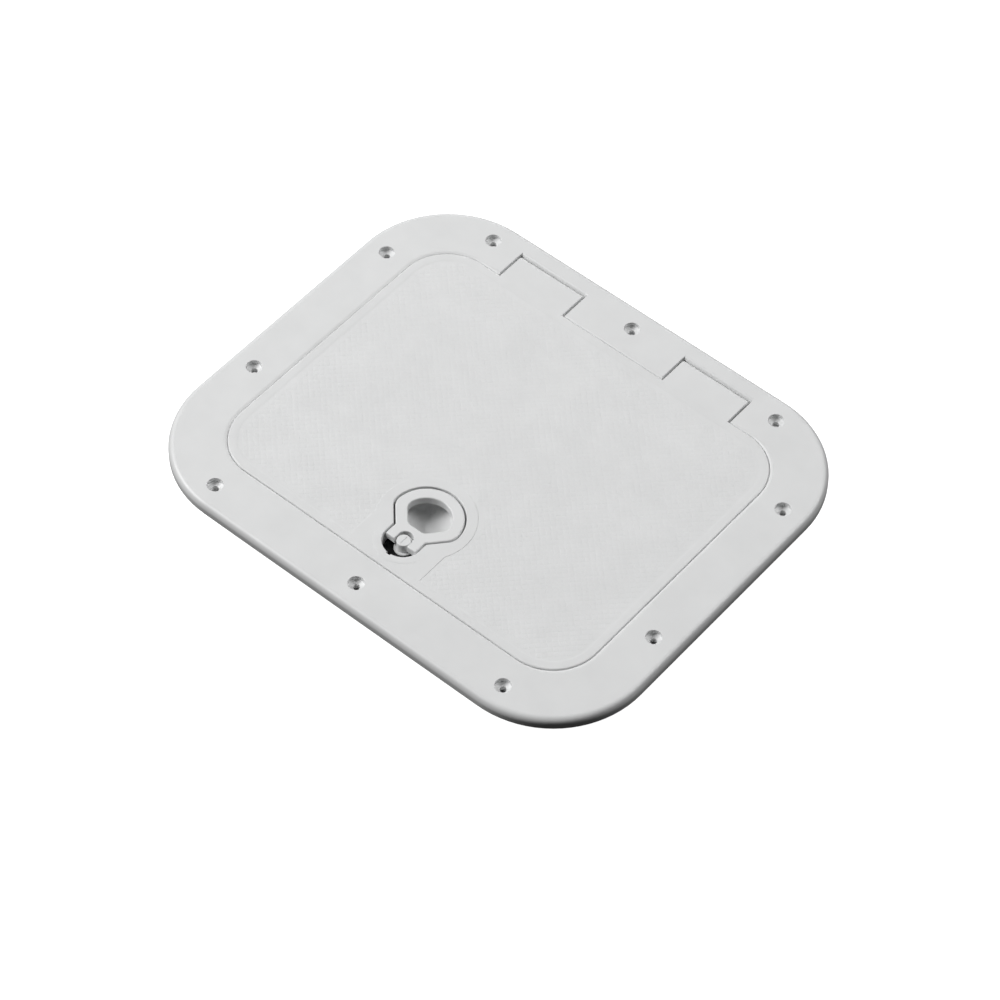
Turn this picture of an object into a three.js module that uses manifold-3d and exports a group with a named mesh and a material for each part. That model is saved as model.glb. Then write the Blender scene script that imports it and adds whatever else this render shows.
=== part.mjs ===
// Flush deck hatch for a boat: a moulded frame that drops into a cut-out in the deck, a lid
// on two hinge tabs, a ring handle that folds flat into the lid, and a quarter-turn lock
// whose cam hooks under the frame's front ledge.
//
// Millimetres. The origin is under the middle of the hatch, in the plane of the collar's
// lower rim. +X runs along the long side, +Y from the latch towards the hinges, +Z up.

import * as THREE from 'three';
import { mergeVertices } from 'three/addons/utils/BufferGeometryUtils.js';
import Module from 'manifold-3d';

const wasm = await Module();
wasm.setup();

// ---------------------------------------------------------------- driving dimensions

const TOUCH = 0.3; // left between two pieces that touch
const CUT = 1; // how far a cutting shape runs past the face that it cuts

// Heights of the frame
const DECK_Z = 25.5; // the deck's surface, which the flange sits on
const TOP_Z = 34; // the flange's top, level with the lid's
const LEDGE_TOP_Z = 21;
const LEDGE_BOTTOM_Z = 17.5;

// Frame in plan
const FLANGE = { length: 375, width: 314, corner: 72 };
const FLANGE_SKIN = 3.2;
const FLANGE_EDGE_ROUND = 5;
const FLANGE_EDGE_STEPS = 3;
const RIM_WALL = 4;
const OPENING = { length: 301, width: 237.9, corner: 36 };
const WELL_WALL = 3.2;
const LEDGE_WIDTH = 7;
const GASKET_INSET = [1, 6]; // its two sides, from the well wall

// Deck screw holes: Ø5 holes with a Ø11.6 countersink, ten round the flange
const SCREW_HOLE_RADIUS = 2.5;
const COUNTERSINK_RADIUS = 5.8;
const COUNTERBORE_DEPTH = 1.3;
const COUNTERSINK_DEPTH = 4.8;
const SCREW_BOSS_RADIUS = 7.5;
const LONG_SIDE_SCREW_X = [-121.3, 0, 121.3];
const LONG_SIDE_SCREW_Y = 139.3;
const SHORT_SIDE_SCREW_X = 169.3;
const SHORT_SIDE_SCREW_Y = [-49.6, 83.8];

// Stiffening ribs under the flange
const FLANGE_RIB = 2;
const FRONT_RIB_X = [-92, -62, -31, 31, 62, 92];
const REAR_RIB_X = [-20, 20];
const SHORT_SIDE_RIB_Y = [-82, -17, 17, 51];

// Lid
const LID_GAP = 1.3; // all round, between lid and frame
const LID = {
  length: OPENING.length - 2 * LID_GAP,
  width: OPENING.width - 2 * LID_GAP,
  corner: OPENING.corner - LID_GAP,
};
const LID_SKIN = 3.2;
const SKIRT_WALL = 2.6;
const SKIRT_BOTTOM_Z = 24.5;
const PANEL_INSET = 6.3; // smooth border round the non-skid panel
const PANEL_DROP = 0.5; // the panel lies this far below the border
const LID_RIB = 2;
const LID_RIB_BOTTOM_Z = 25.5;
const LID_RIB_X = [-100, -50, 0, 50, 100];
const LID_RIB_Y = [-30, 20, 70];

// Hinges
const HINGE_X = 70.33;
const HINGE_AXIS_Y = 138;
const KNUCKLE_RADIUS = 3.6;
const HINGE_AXIS_Z = TOP_Z - KNUCKLE_RADIUS;
const TAB_WIDTH = 54.5;
const TAB_THICKNESS = 3.4;
const TAB_CLEARANCE = 0.4; // under the tab, where it crosses the well wall
const NOTCH_WIDTH = 57.5;
const NOTCH_REAR_Y = 142.4;
const HINGE_PIN_RADIUS = 1.5;
const HINGE_PIN_LENGTH = 68;
const HINGE_PIN_PLAY = 0.2; // between the pin and the knuckle's bore
const KNUCKLE_MOUTH = 2.6; // the knuckle snaps over its pin through this slot
const HINGE_BLOCK = 7.5; // solid block on each side of the notch
const HINGE_REAR_WALL = 3; // and behind it
const KEEPER_PLATE = 1;
const KEEPER_SCREW_Y = 128.5;
const KEEPER_SCREW = { head: 2.1, shank: 1.3, cone: 1.2, tip: 0.7, topZ: 31.4 };
const KEEPER_SCREW_CROSS = { half: 1.2, width: 0.6, depth: 0.9 };

// Latch in plan. The gap round the handle is a keyhole: a round head, a straight taper
// and a parallel tail with a round end. These are the sizes of the gap's middle line.
const HEAD_RADIUS = 25.2;
const HEAD_Y = -71.2;
const TAIL_HALF = 13.1;
const TAIL_CORNER_Y = -87.2;
const TAIL_END_Y = -94;
const TAPER_ANGLE = THREE.MathUtils.degToRad(42); // from the Y axis
const SHOULDER_ROUND = 3.5;
const HANDLE_GAP = 1.2;

// Recesses in the lid
const RECESS_FLOOR_Z = 27.5; // under the ring
const POCKET_FLOOR_Z = 23; // under the fork
const POCKET_REAR_Y = -86.5;
const POCKET_WALL = 2.4;
const POCKET_NOTCH = { half: 1.5, depth: 1.2 };
const WELL_Y = -67.5;
const WELL_SIZE = { x: 20, y: 16.5, z: 11 }; // half-axes of the finger well
const WELL_SHELL = 2;
const PIN_BOSS = { wall: 2.5, half: 4.5, bottomZ: 25 }; // round the handle's pins
const ISLAND_RADIUS = 33.3; // smooth field round the latch
const ISLAND_HALF = 29.2;
const LIP_RADIUS = 19.8; // raised lip in front of the latch
const LIP_REAR_Y = -105.5;
const LIP_RISE = 0.4;
const LIP_EDGE = 0.5;

// Ring handle
const HANDLE_TOP_Z = 33.9;
const HANDLE_BOTTOM_Z = 28.3;
const HANDLE_EDGE = 0.8;
const HANDLE_EDGE_STEPS = 1;
const FINGER_HOLE_RADIUS = 16.6;
const FINGER_HOLE_FRONT_Y = -81.6;
const FORK_SLOT_HALF = 5.3;
const FORK_SLOT_END_Y = -85.7;
const HANDLE_AXIS_Y = -93.5;
const HANDLE_AXIS_Z = 30;
const HANDLE_KNUCKLE_RADIUS = 3.2;
const HANDLE_PIN_RADIUS = 1.5;
const HANDLE_PIN_X = [6, 16];

// Lock, on a vertical axis in the fork's slot
const LOCK_Y = HANDLE_AXIS_Y;
const LOCK_HEAD_RADIUS = 4.75;
const LOCK_HEAD_TOP_Z = 33;
const LOCK_HEAD_EDGE = 0.4;
const COIN_SLOT = { width: 0.9, length: 6.4, depth: 0.8 };
const LOCK_SHANK_RADIUS = 3.8;
const O_RING_Z = 20.5; // the barrel's own O-ring, in a groove round its shank
const O_RING_CORD = 0.45;
const O_RING_STRETCH = 0.1;
const O_RING_PLAY = 0.2;
const BUSH_FLANGE_RADIUS = 6.6;
const BUSH_FLANGE = 1.3;
const BUSH_SEAL_PLAY = 0.4; // between the flat seal and the pocket's wall
const BUSH_RADIUS = 5.4;
const BUSH_TOP_Z = 25.7;
const BUSH_BOTTOM_Z = 16.6;
const LOCK_NUT_FLATS = 15;
const LOCK_NUT_TOP_Z = 20.3;
const WAVE_WASHER_RADII = [4.1, 7];
const CAM_TOP_Z = 15.4;
const CAM_THICKNESS = 2.5;
const CAM_HUB_RADIUS = 7;
const CAM_TIP_RADIUS = 5;
const CAM_REACH = 23.5;
const CAM_SQUARE = 5.2;
const CAM_WASHER = { radius: 4.5, thickness: 0.8 };
const CAM_SCREW = { radius: 1.7, topZ: 18.4, holeTopZ: 19, flats: 7, head: 2.8 };
const KEEPER_RIB_BOTTOM_Z = CAM_TOP_Z + TOUCH;
const KEEPER_RIB_HALF = 24;

// ---------------------------------------------------------------- solids

const ROUND_SEGMENTS = 16;
const WELL_SEGMENTS = 24;
const LATCH_SEGMENTS = 40;
const ARC_SEGMENTS = 6; // half the steps in each arc of an outline

// Merges a geometry's vertices into a closed solid that can be joined and cut.
function solid(geometry) {
  geometry.deleteAttribute('normal');
  geometry.deleteAttribute('uv');
  const merged = mergeVertices(geometry);
  const corners = merged.index.array;
  const triangles = [];
  for (let i = 0; i < corners.length; i += 3) {
    const [a, b, c] = [corners[i], corners[i + 1], corners[i + 2]];
    if (a !== b && b !== c && c !== a) triangles.push(a, b, c);
  }
  return new wasm.Manifold(new wasm.Mesh({
    numProp: 3,
    vertProperties: merged.attributes.position.array,
    triVerts: new Uint32Array(triangles),
  }));
}

function joined(solids) {
  return solids.reduce((whole, piece) => whole.add(piece));
}

function box(x, y, z) {
  const geometry = new THREE.BoxGeometry(x[1] - x[0], y[1] - y[0], z[1] - z[0]);
  geometry.translate((x[0] + x[1]) / 2, (y[0] + y[1]) / 2, (z[0] + z[1]) / 2);
  return solid(geometry);
}

// Upright cylinder or cone frustum at (x, y).
function upright(x, y, z, bottomRadius, topRadius = bottomRadius, segments = ROUND_SEGMENTS) {
  const geometry = new THREE.CylinderGeometry(topRadius, bottomRadius, z[1] - z[0], segments);
  geometry.rotateX(Math.PI / 2);
  geometry.translate(x, y, (z[0] + z[1]) / 2);
  return solid(geometry);
}

// Cylinder along X, on the axis (y, z).
function crosswise(x, y, z, radius) {
  const geometry = new THREE.CylinderGeometry(radius, radius, x[1] - x[0], ROUND_SEGMENTS);
  geometry.rotateZ(Math.PI / 2);
  geometry.translate((x[0] + x[1]) / 2, y, z);
  return solid(geometry);
}

function prism(outline, z) {
  const geometry = new THREE.ExtrudeGeometry(outline, {
    depth: z[1] - z[0],
    bevelEnabled: false,
    curveSegments: ARC_SEGMENTS,
  });
  geometry.translate(0, 0, z[0]);
  return solid(geometry);
}

// Prism whose upper and lower edges are rounded inside the outline.
function roundedPrism(outline, z, round, steps) {
  const geometry = new THREE.ExtrudeGeometry(outline, {
    depth: z[1] - z[0] - 2 * round,
    bevelThickness: round,
    bevelSize: round,
    bevelOffset: -round,
    bevelSegments: steps,
    curveSegments: ARC_SEGMENTS,
  });
  geometry.translate(0, 0, z[0] + round);
  return solid(geometry);
}

// Turned piece about an upright axis at (x, y); the profile is [radius, z] pairs.
function turned(x, y, profile) {
  const points = profile.map(([radius, z]) => new THREE.Vector2(radius, z));
  const geometry = new THREE.LatheGeometry(points, ROUND_SEGMENTS);
  geometry.rotateX(Math.PI / 2);
  geometry.translate(x, y, 0);
  return solid(geometry);
}

// Flat ring with a square section.
function washer(x, y, z, innerRadius, outerRadius) {
  return turned(x, y, [
    [innerRadius, z[0]],
    [outerRadius, z[0]],
    [outerRadius, z[1]],
    [innerRadius, z[1]],
    [innerRadius, z[0]],
  ]);
}

// Ring with a round section.
function oRing(x, y, z, ringRadius, cordRadius) {
  const geometry = new THREE.TorusGeometry(ringRadius, cordRadius, 8, ROUND_SEGMENTS);
  geometry.translate(x, y, z);
  return solid(geometry);
}

// ---------------------------------------------------------------- outlines

// Rectangle with round corners, made smaller all round by inset.
function roundedRectangle({ length, width, corner }, inset = 0) {
  const radius = corner - inset;
  const x = length / 2 - corner;
  const y = width / 2 - corner;
  const outline = new THREE.Shape();
  const centres = [[x, y], [-x, y], [-x, -y], [x, -y]];
  centres.forEach(([cx, cy], quarter) => {
    outline.absarc(cx, cy, radius, quarter * Math.PI / 2, (quarter + 1) * Math.PI / 2);
  });
  outline.closePath();
  return outline;
}

// Where the keyhole's tail meets its taper, with the outline grown by offset.
function tailCorner(offset) {
  return new THREE.Vector2(
    TAIL_HALF + offset,
    TAIL_CORNER_Y - offset * Math.tan(TAPER_ANGLE / 2),
  );
}

// Where the taper would meet the round head if that corner were sharp.
function shoulder(offset) {
  const along = new THREE.Vector2(Math.sin(TAPER_ANGLE), Math.cos(TAPER_ANGLE));
  const corner = tailCorner(offset);
  const fromCentre = new THREE.Vector2(corner.x, corner.y - HEAD_Y);
  const radius = HEAD_RADIUS + offset;
  const towards = fromCentre.dot(along);
  const distance = Math.sqrt(towards ** 2 - fromCentre.lengthSq() + radius ** 2) - towards;
  return corner.addScaledVector(along, distance);
}

// Draws the keyhole's head, from the right-hand taper over the top to the left-hand one.
function addHead(path, offset) {
  const radius = HEAD_RADIUS + offset;
  const corner = shoulder(offset);
  const angle = Math.atan2(corner.y - HEAD_Y, corner.x) + SHOULDER_ROUND / radius;
  const arcX = radius * Math.cos(angle);
  const arcY = HEAD_Y + radius * Math.sin(angle);
  const taperX = corner.x - SHOULDER_ROUND * Math.sin(TAPER_ANGLE);
  const taperY = corner.y - SHOULDER_ROUND * Math.cos(TAPER_ANGLE);
  path.lineTo(taperX, taperY);
  path.quadraticCurveTo(corner.x, corner.y, arcX, arcY);
  path.absarc(0, HEAD_Y, radius, angle, Math.PI - angle);
  path.quadraticCurveTo(-corner.x, corner.y, -taperX, taperY);
}

function recessOutline(offset) {
  const corner = tailCorner(offset);
  const outline = new THREE.Shape();
  outline.absarc(0, TAIL_END_Y, TAIL_HALF + offset, Math.PI, 2 * Math.PI);
  outline.lineTo(corner.x, corner.y);
  addHead(outline, offset);
  outline.lineTo(-corner.x, corner.y);
  outline.closePath();
  return outline;
}

// The deep pocket under the handle's fork.
function pocketOutline(offset) {
  const half = TAIL_HALF + offset;
  const outline = new THREE.Shape();
  outline.absarc(0, TAIL_END_Y, half, Math.PI, 2 * Math.PI);
  outline.lineTo(half, POCKET_REAR_Y);
  outline.lineTo(-half, POCKET_REAR_Y);
  outline.closePath();
  return outline;
}

// The ring's finger hole: the head's shape again, with a straight front edge.
function fingerHole() {
  const offset = FINGER_HOLE_RADIUS - HEAD_RADIUS;
  const corner = tailCorner(offset);
  const frontHalf = corner.x + (FINGER_HOLE_FRONT_Y - corner.y) * Math.tan(TAPER_ANGLE);
  const hole = new THREE.Path();
  hole.moveTo(-frontHalf, FINGER_HOLE_FRONT_Y);
  hole.lineTo(frontHalf, FINGER_HOLE_FRONT_Y);
  addHead(hole, offset);
  hole.closePath();
  return hole;
}

function handleOutline() {
  const offset = -HANDLE_GAP / 2;
  const corner = tailCorner(offset);
  const noseY = HANDLE_AXIS_Y - HANDLE_KNUCKLE_RADIUS;
  const slotCentreY = FORK_SLOT_END_Y - FORK_SLOT_HALF;
  const outline = new THREE.Shape();
  outline.moveTo(FORK_SLOT_HALF, noseY);
  outline.lineTo(corner.x, noseY);
  outline.lineTo(corner.x, corner.y);
  addHead(outline, offset);
  outline.lineTo(-corner.x, corner.y);
  outline.lineTo(-corner.x, noseY);
  outline.lineTo(-FORK_SLOT_HALF, noseY);
  outline.absarc(0, slotCentreY, FORK_SLOT_HALF, Math.PI, 0, true);
  outline.closePath();
  outline.holes.push(fingerHole());
  return outline;
}

// Smooth field round the latch: a circle with a straight-sided foot that runs to the front.
function island(z) {
  const round = upright(0, HEAD_Y, z, ISLAND_RADIUS, ISLAND_RADIUS, LATCH_SEGMENTS);
  return round.add(box([-ISLAND_HALF, ISLAND_HALF], [-LID.width / 2, HEAD_Y], z));
}

// ---------------------------------------------------------------- frame and its hinges

function deckScrewPlaces() {
  const longSides = LONG_SIDE_SCREW_X.flatMap((x) => [
    [x, LONG_SIDE_SCREW_Y],
    [x, -LONG_SIDE_SCREW_Y],
  ]);
  const shortSides = SHORT_SIDE_SCREW_Y.flatMap((y) => [
    [SHORT_SIDE_SCREW_X, y],
    [-SHORT_SIDE_SCREW_X, y],
  ]);
  return [...longSides, ...shortSides];
}

function deckScrewHole([x, y]) {
  const counterboreZ = TOP_Z - COUNTERBORE_DEPTH;
  const coneZ = TOP_Z - COUNTERSINK_DEPTH;
  return turned(x, y, [
    [0, DECK_Z - CUT],
    [SCREW_HOLE_RADIUS, DECK_Z - CUT],
    [SCREW_HOLE_RADIUS, coneZ],
    [COUNTERSINK_RADIUS, counterboreZ],
    [COUNTERSINK_RADIUS, TOP_Z + CUT],
    [0, TOP_Z + CUT],
  ]);
}

// Everything that stays solid in the hollow under the flange.
function flangeStiffeners() {
  const z = [DECK_Z - CUT, TOP_Z];
  const half = FLANGE_RIB / 2;
  const endY = FLANGE.width / 2;
  const endX = FLANGE.length / 2;
  const blockHalf = NOTCH_WIDTH / 2 + HINGE_BLOCK;
  const bosses = deckScrewPlaces().map(([x, y]) => upright(x, y, z, SCREW_BOSS_RADIUS));
  const frontRibs = FRONT_RIB_X.map((x) => box([x - half, x + half], [-endY, 0], z));
  const rearRibs = REAR_RIB_X.map((x) => box([x - half, x + half], [0, endY], z));
  const sideRibs = SHORT_SIDE_RIB_Y.map((y) => box([-endX, endX], [y - half, y + half], z));
  const hingeBlocks = [-HINGE_X, HINGE_X].map((x) => (
    box([x - blockHalf, x + blockHalf], [0, NOTCH_REAR_Y + HINGE_REAR_WALL], z)
  ));
  return joined([...bosses, ...frontRibs, ...rearRibs, ...sideRibs, ...hingeBlocks]);
}

// The hollow under the flange, between its rim and the well wall.
function flangeHollow() {
  const z = [DECK_Z - CUT, TOP_Z - FLANGE_SKIN];
  return prism(roundedRectangle(FLANGE, RIM_WALL), z)
    .subtract(prism(roundedRectangle(OPENING, -WELL_WALL), [0, TOP_Z]))
    .subtract(flangeStiffeners());
}

// Room for one hinge: the tab's notch, the pin's groove and the keeper's seat.
function hingeCut(x) {
  const notch = [x - NOTCH_WIDTH / 2, x + NOTCH_WIDTH / 2];
  const wellWallY = OPENING.width / 2 + WELL_WALL;
  const grooveHalf = HINGE_PIN_LENGTH / 2 + TOUCH;
  const grooveRadius = HINGE_PIN_RADIUS + TOUCH;
  const groove = [x - grooveHalf, x + grooveHalf];
  const seatTopZ = HINGE_AXIS_Z - HINGE_PIN_RADIUS;
  const screwHoles = [-1, 1].map((side) => upright(
    x + side * keeperScrewX(),
    KEEPER_SCREW_Y,
    [DECK_Z, KEEPER_SCREW.topZ + CUT],
    KEEPER_SCREW.shank + TOUCH,
  ));
  return joined([
    box(notch, [wellWallY, NOTCH_REAR_Y], [DECK_Z - CUT, TOP_Z + CUT]),
    box(notch, [0, wellWallY + CUT], [TOP_Z - TAB_THICKNESS - TAB_CLEARANCE, TOP_Z + CUT]),
    crosswise(groove, HINGE_AXIS_Y, HINGE_AXIS_Z, grooveRadius),
    box(
      groove,
      [HINGE_AXIS_Y - grooveRadius, HINGE_AXIS_Y + grooveRadius],
      [DECK_Z, HINGE_AXIS_Z],
    ),
    box(groove, [wellWallY + CUT, NOTCH_REAR_Y], [DECK_Z - CUT, seatTopZ]),
    ...screwHoles,
  ]);
}

function makeFrame() {
  const flange = roundedPrism(
    roundedRectangle(FLANGE),
    [DECK_Z - 2 * FLANGE_EDGE_ROUND, TOP_Z],
    FLANGE_EDGE_ROUND,
    FLANGE_EDGE_STEPS,
  );
  const belowDeck = box(
    [-FLANGE.length, FLANGE.length],
    [-FLANGE.width, FLANGE.width],
    [0, DECK_Z],
  );
  const collar = prism(roundedRectangle(OPENING, -WELL_WALL), [0, TOP_Z - CUT]);
  const keeperRib = box(
    [-KEEPER_RIB_HALF, KEEPER_RIB_HALF],
    [-OPENING.width / 2 - CUT, LEDGE_WIDTH - OPENING.width / 2],
    [KEEPER_RIB_BOTTOM_Z, LEDGE_BOTTOM_Z + CUT],
  );
  const clearHole = roundedRectangle(OPENING, LEDGE_WIDTH);
  return flange
    .subtract(belowDeck)
    .subtract(flangeHollow())
    .add(collar)
    .subtract(prism(roundedRectangle(OPENING), [LEDGE_TOP_Z, TOP_Z + CUT]))
    .subtract(prism(clearHole, [-CUT, TOP_Z + CUT]))
    .subtract(prism(roundedRectangle(OPENING), [-CUT, LEDGE_BOTTOM_Z]))
    .add(keeperRib)
    .subtract(hingeCut(HINGE_X))
    .subtract(hingeCut(-HINGE_X))
    .subtract(joined(deckScrewPlaces().map(deckScrewHole)));
}

// Foam strip in the frame's ledge; the lid's skirt comes down on it.
function makeGasket() {
  const z = [LEDGE_TOP_Z + TOUCH, SKIRT_BOTTOM_Z - TOUCH];
  const [outside, inside] = GASKET_INSET.map((inset) => roundedRectangle(OPENING, inset));
  return prism(outside, z).subtract(prism(inside, [z[0] - CUT, z[1] + CUT]));
}

function makeHingePin(x) {
  const half = HINGE_PIN_LENGTH / 2;
  return crosswise([x - half, x + half], HINGE_AXIS_Y, HINGE_AXIS_Z, HINGE_PIN_RADIUS);
}

function keeperScrewX() {
  return (NOTCH_WIDTH + HINGE_PIN_LENGTH) / 4;
}

// Plate that closes the notch from below; its thick ends hold the pin up in its groove.
function makePinKeeper(x) {
  const half = HINGE_PIN_LENGTH / 2;
  const padHalf = NOTCH_WIDTH / 2 + TOUCH;
  const y = [OPENING.width / 2 + WELL_WALL + CUT + TOUCH, NOTCH_REAR_Y - TOUCH];
  const padTopZ = HINGE_AXIS_Z - HINGE_PIN_RADIUS - TOUCH;
  const plate = box([x - half, x + half], y, [DECK_Z, DECK_Z + KEEPER_PLATE]);
  const pads = [[x - half, x - padHalf], [x + padHalf, x + half]].map((ends) => (
    box(ends, y, [DECK_Z, padTopZ])
  ));
  const { head, shank, cone } = KEEPER_SCREW;
  const screwSeats = [-1, 1].map((side) => turned(x + side * keeperScrewX(), KEEPER_SCREW_Y, [
    [0, DECK_Z - CUT],
    [head + TOUCH, DECK_Z - CUT],
    [head + TOUCH, DECK_Z],
    [shank + TOUCH, DECK_Z + cone],
    [shank + TOUCH, padTopZ + CUT],
    [0, padTopZ + CUT],
  ]));
  return joined([plate, ...pads]).subtract(joined(screwSeats));
}

// Countersunk screw that points up, its head flush with the keeper's lower face.
function makeKeeperScrew(x) {
  const { head, shank, cone, tip, topZ } = KEEPER_SCREW;
  const { half, width, depth } = KEEPER_SCREW_CROSS;
  const z = [DECK_Z - CUT, DECK_Z + depth];
  const screw = turned(x, KEEPER_SCREW_Y, [
    [0, DECK_Z],
    [head, DECK_Z],
    [shank, DECK_Z + cone],
    [shank, topZ],
    [0, topZ + tip],
  ]);
  const slots = [[half, width / 2], [width / 2, half]].map(([halfX, halfY]) => (
    box([x - halfX, x + halfX], [KEEPER_SCREW_Y - halfY, KEEPER_SCREW_Y + halfY], z)
  ));
  return screw.subtract(joined(slots));
}

// ---------------------------------------------------------------- lid

function hingeTab(x) {
  const across = [x - TAB_WIDTH / 2, x + TAB_WIDTH / 2];
  const plate = box(
    across,
    [LID.width / 2 - SKIRT_WALL, HINGE_AXIS_Y],
    [TOP_Z - TAB_THICKNESS, TOP_Z],
  );
  return plate.add(crosswise(across, HINGE_AXIS_Y, HINGE_AXIS_Z, KNUCKLE_RADIUS));
}

// Bore for the hinge pin, with the slot that snaps over the pin.
function hingeBore(x) {
  const across = [x - NOTCH_WIDTH / 2, x + NOTCH_WIDTH / 2];
  const mouth = box(
    across,
    [HINGE_AXIS_Y - KNUCKLE_MOUTH / 2, HINGE_AXIS_Y + KNUCKLE_MOUTH / 2],
    [DECK_Z, HINGE_AXIS_Z],
  );
  const radius = HINGE_PIN_RADIUS + HINGE_PIN_PLAY;
  return mouth.add(crosswise(across, HINGE_AXIS_Y, HINGE_AXIS_Z, radius));
}

function lidRibs() {
  const z = [LID_RIB_BOTTOM_Z, TOP_Z - CUT];
  const half = LID_RIB / 2;
  const endX = LID.length / 2 - CUT;
  const endY = LID.width / 2 - CUT;
  return joined([
    ...LID_RIB_X.map((x) => box([x - half, x + half], [-endY, endY], z)),
    ...LID_RIB_Y.map((y) => box([-endX, endX], [y - half, y + half], z)),
  ]);
}

function ellipsoid(x, y, z, size) {
  const geometry = new THREE.SphereGeometry(1, WELL_SEGMENTS, WELL_SEGMENTS / 2);
  geometry.rotateX(Math.PI / 2);
  geometry.scale(size.x, size.y, size.z);
  geometry.translate(x, y, z);
  return solid(geometry);
}

// Walls and floors that hang under the lid round the latch.
function latchHousing() {
  const offset = HANDLE_GAP / 2 + POCKET_WALL;
  const recess = prism(recessOutline(offset), [RECESS_FLOOR_Z - WELL_SHELL, TOP_Z - CUT]);
  const pocket = prism(pocketOutline(offset), [POCKET_FLOOR_Z - POCKET_WALL, TOP_Z - CUT]);
  const bossEnd = HANDLE_PIN_X[1] + PIN_BOSS.wall;
  const pinBosses = box(
    [-bossEnd, bossEnd],
    [HANDLE_AXIS_Y - PIN_BOSS.half, HANDLE_AXIS_Y + PIN_BOSS.half],
    [PIN_BOSS.bottomZ, TOP_Z - CUT],
  );
  const wellSize = {
    x: WELL_SIZE.x + WELL_SHELL,
    y: WELL_SIZE.y + WELL_SHELL,
    z: WELL_SIZE.z + WELL_SHELL,
  };
  const wellTop = box(
    [-wellSize.x, wellSize.x],
    [WELL_Y - wellSize.y, WELL_Y + wellSize.y],
    [RECESS_FLOOR_Z, RECESS_FLOOR_Z + wellSize.z + CUT],
  );
  const well = ellipsoid(0, WELL_Y, RECESS_FLOOR_Z, wellSize).subtract(wellTop);
  return joined([recess, pocket, well, pinBosses]);
}

// What the latch takes out of the lid.
function latchCut() {
  const offset = HANDLE_GAP / 2;
  const above = TOP_Z + CUT;
  const tailFrontY = TAIL_END_Y - TAIL_HALF - offset;
  const pinHoleEnd = HANDLE_PIN_X[1] + TOUCH;
  return joined([
    prism(recessOutline(offset), [RECESS_FLOOR_Z, above]),
    prism(pocketOutline(offset), [POCKET_FLOOR_Z, above]),
    box(
      [-POCKET_NOTCH.half, POCKET_NOTCH.half],
      [tailFrontY - POCKET_NOTCH.depth, TAIL_END_Y],
      [POCKET_FLOOR_Z, above],
    ),
    ellipsoid(0, WELL_Y, RECESS_FLOOR_Z, WELL_SIZE),
    crosswise(
      [-pinHoleEnd, pinHoleEnd],
      HANDLE_AXIS_Y,
      HANDLE_AXIS_Z,
      HANDLE_PIN_RADIUS + TOUCH,
    ),
    upright(0, LOCK_Y, [BUSH_BOTTOM_Z, above], BUSH_RADIUS + TOUCH),
  ]);
}

// Low raised crescent in front of the latch.
function latchLip() {
  const z = [TOP_Z - CUT, TOP_Z + LIP_RISE];
  const topRadius = LIP_RADIUS - LIP_EDGE;
  const rear = box([-LIP_RADIUS, LIP_RADIUS], [LIP_REAR_Y, 0], [z[0] - CUT, z[1] + CUT]);
  return upright(0, TAIL_END_Y, z, LIP_RADIUS, topRadius, LATCH_SEGMENTS).subtract(rear);
}

function makeLid() {
  const slab = prism(roundedRectangle(LID), [SKIRT_BOTTOM_Z, TOP_Z]);
  const hollow = prism(
    roundedRectangle(LID, SKIRT_WALL),
    [SKIRT_BOTTOM_Z - CUT, TOP_Z - LID_SKIN],
  );
  const panelZ = [TOP_Z - PANEL_DROP, TOP_Z + CUT];
  const panel = prism(roundedRectangle(LID, PANEL_INSET), panelZ)
    .subtract(island([panelZ[0] - CUT, panelZ[1] + CUT]));
  return slab
    .subtract(hollow)
    .add(lidRibs())
    .add(latchHousing())
    .subtract(panel)
    .add(hingeTab(HINGE_X))
    .add(hingeTab(-HINGE_X))
    .add(latchLip())
    .subtract(latchCut())
    .subtract(hingeBore(HINGE_X))
    .subtract(hingeBore(-HINGE_X));
}

// ---------------------------------------------------------------- ring handle

function makeRingHandle() {
  const offset = -HANDLE_GAP / 2;
  const armEnd = TAIL_HALF + offset;
  const plate = roundedPrism(
    handleOutline(),
    [HANDLE_BOTTOM_Z, HANDLE_TOP_Z],
    HANDLE_EDGE,
    HANDLE_EDGE_STEPS,
  );
  const knuckles = [[-armEnd, -FORK_SLOT_HALF], [FORK_SLOT_HALF, armEnd]].map((x) => (
    crosswise(x, HANDLE_AXIS_Y, HANDLE_AXIS_Z, HANDLE_KNUCKLE_RADIUS)
  ));
  const bore = crosswise(
    [-armEnd - CUT, armEnd + CUT],
    HANDLE_AXIS_Y,
    HANDLE_AXIS_Z,
    HANDLE_PIN_RADIUS + TOUCH,
  );
  return joined([plate, ...knuckles]).subtract(bore);
}

function makeHandlePin(side) {
  const x = HANDLE_PIN_X.map((end) => side * end).sort((a, b) => a - b);
  return crosswise(x, HANDLE_AXIS_Y, HANDLE_AXIS_Z, HANDLE_PIN_RADIUS);
}

// ---------------------------------------------------------------- lock

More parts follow.
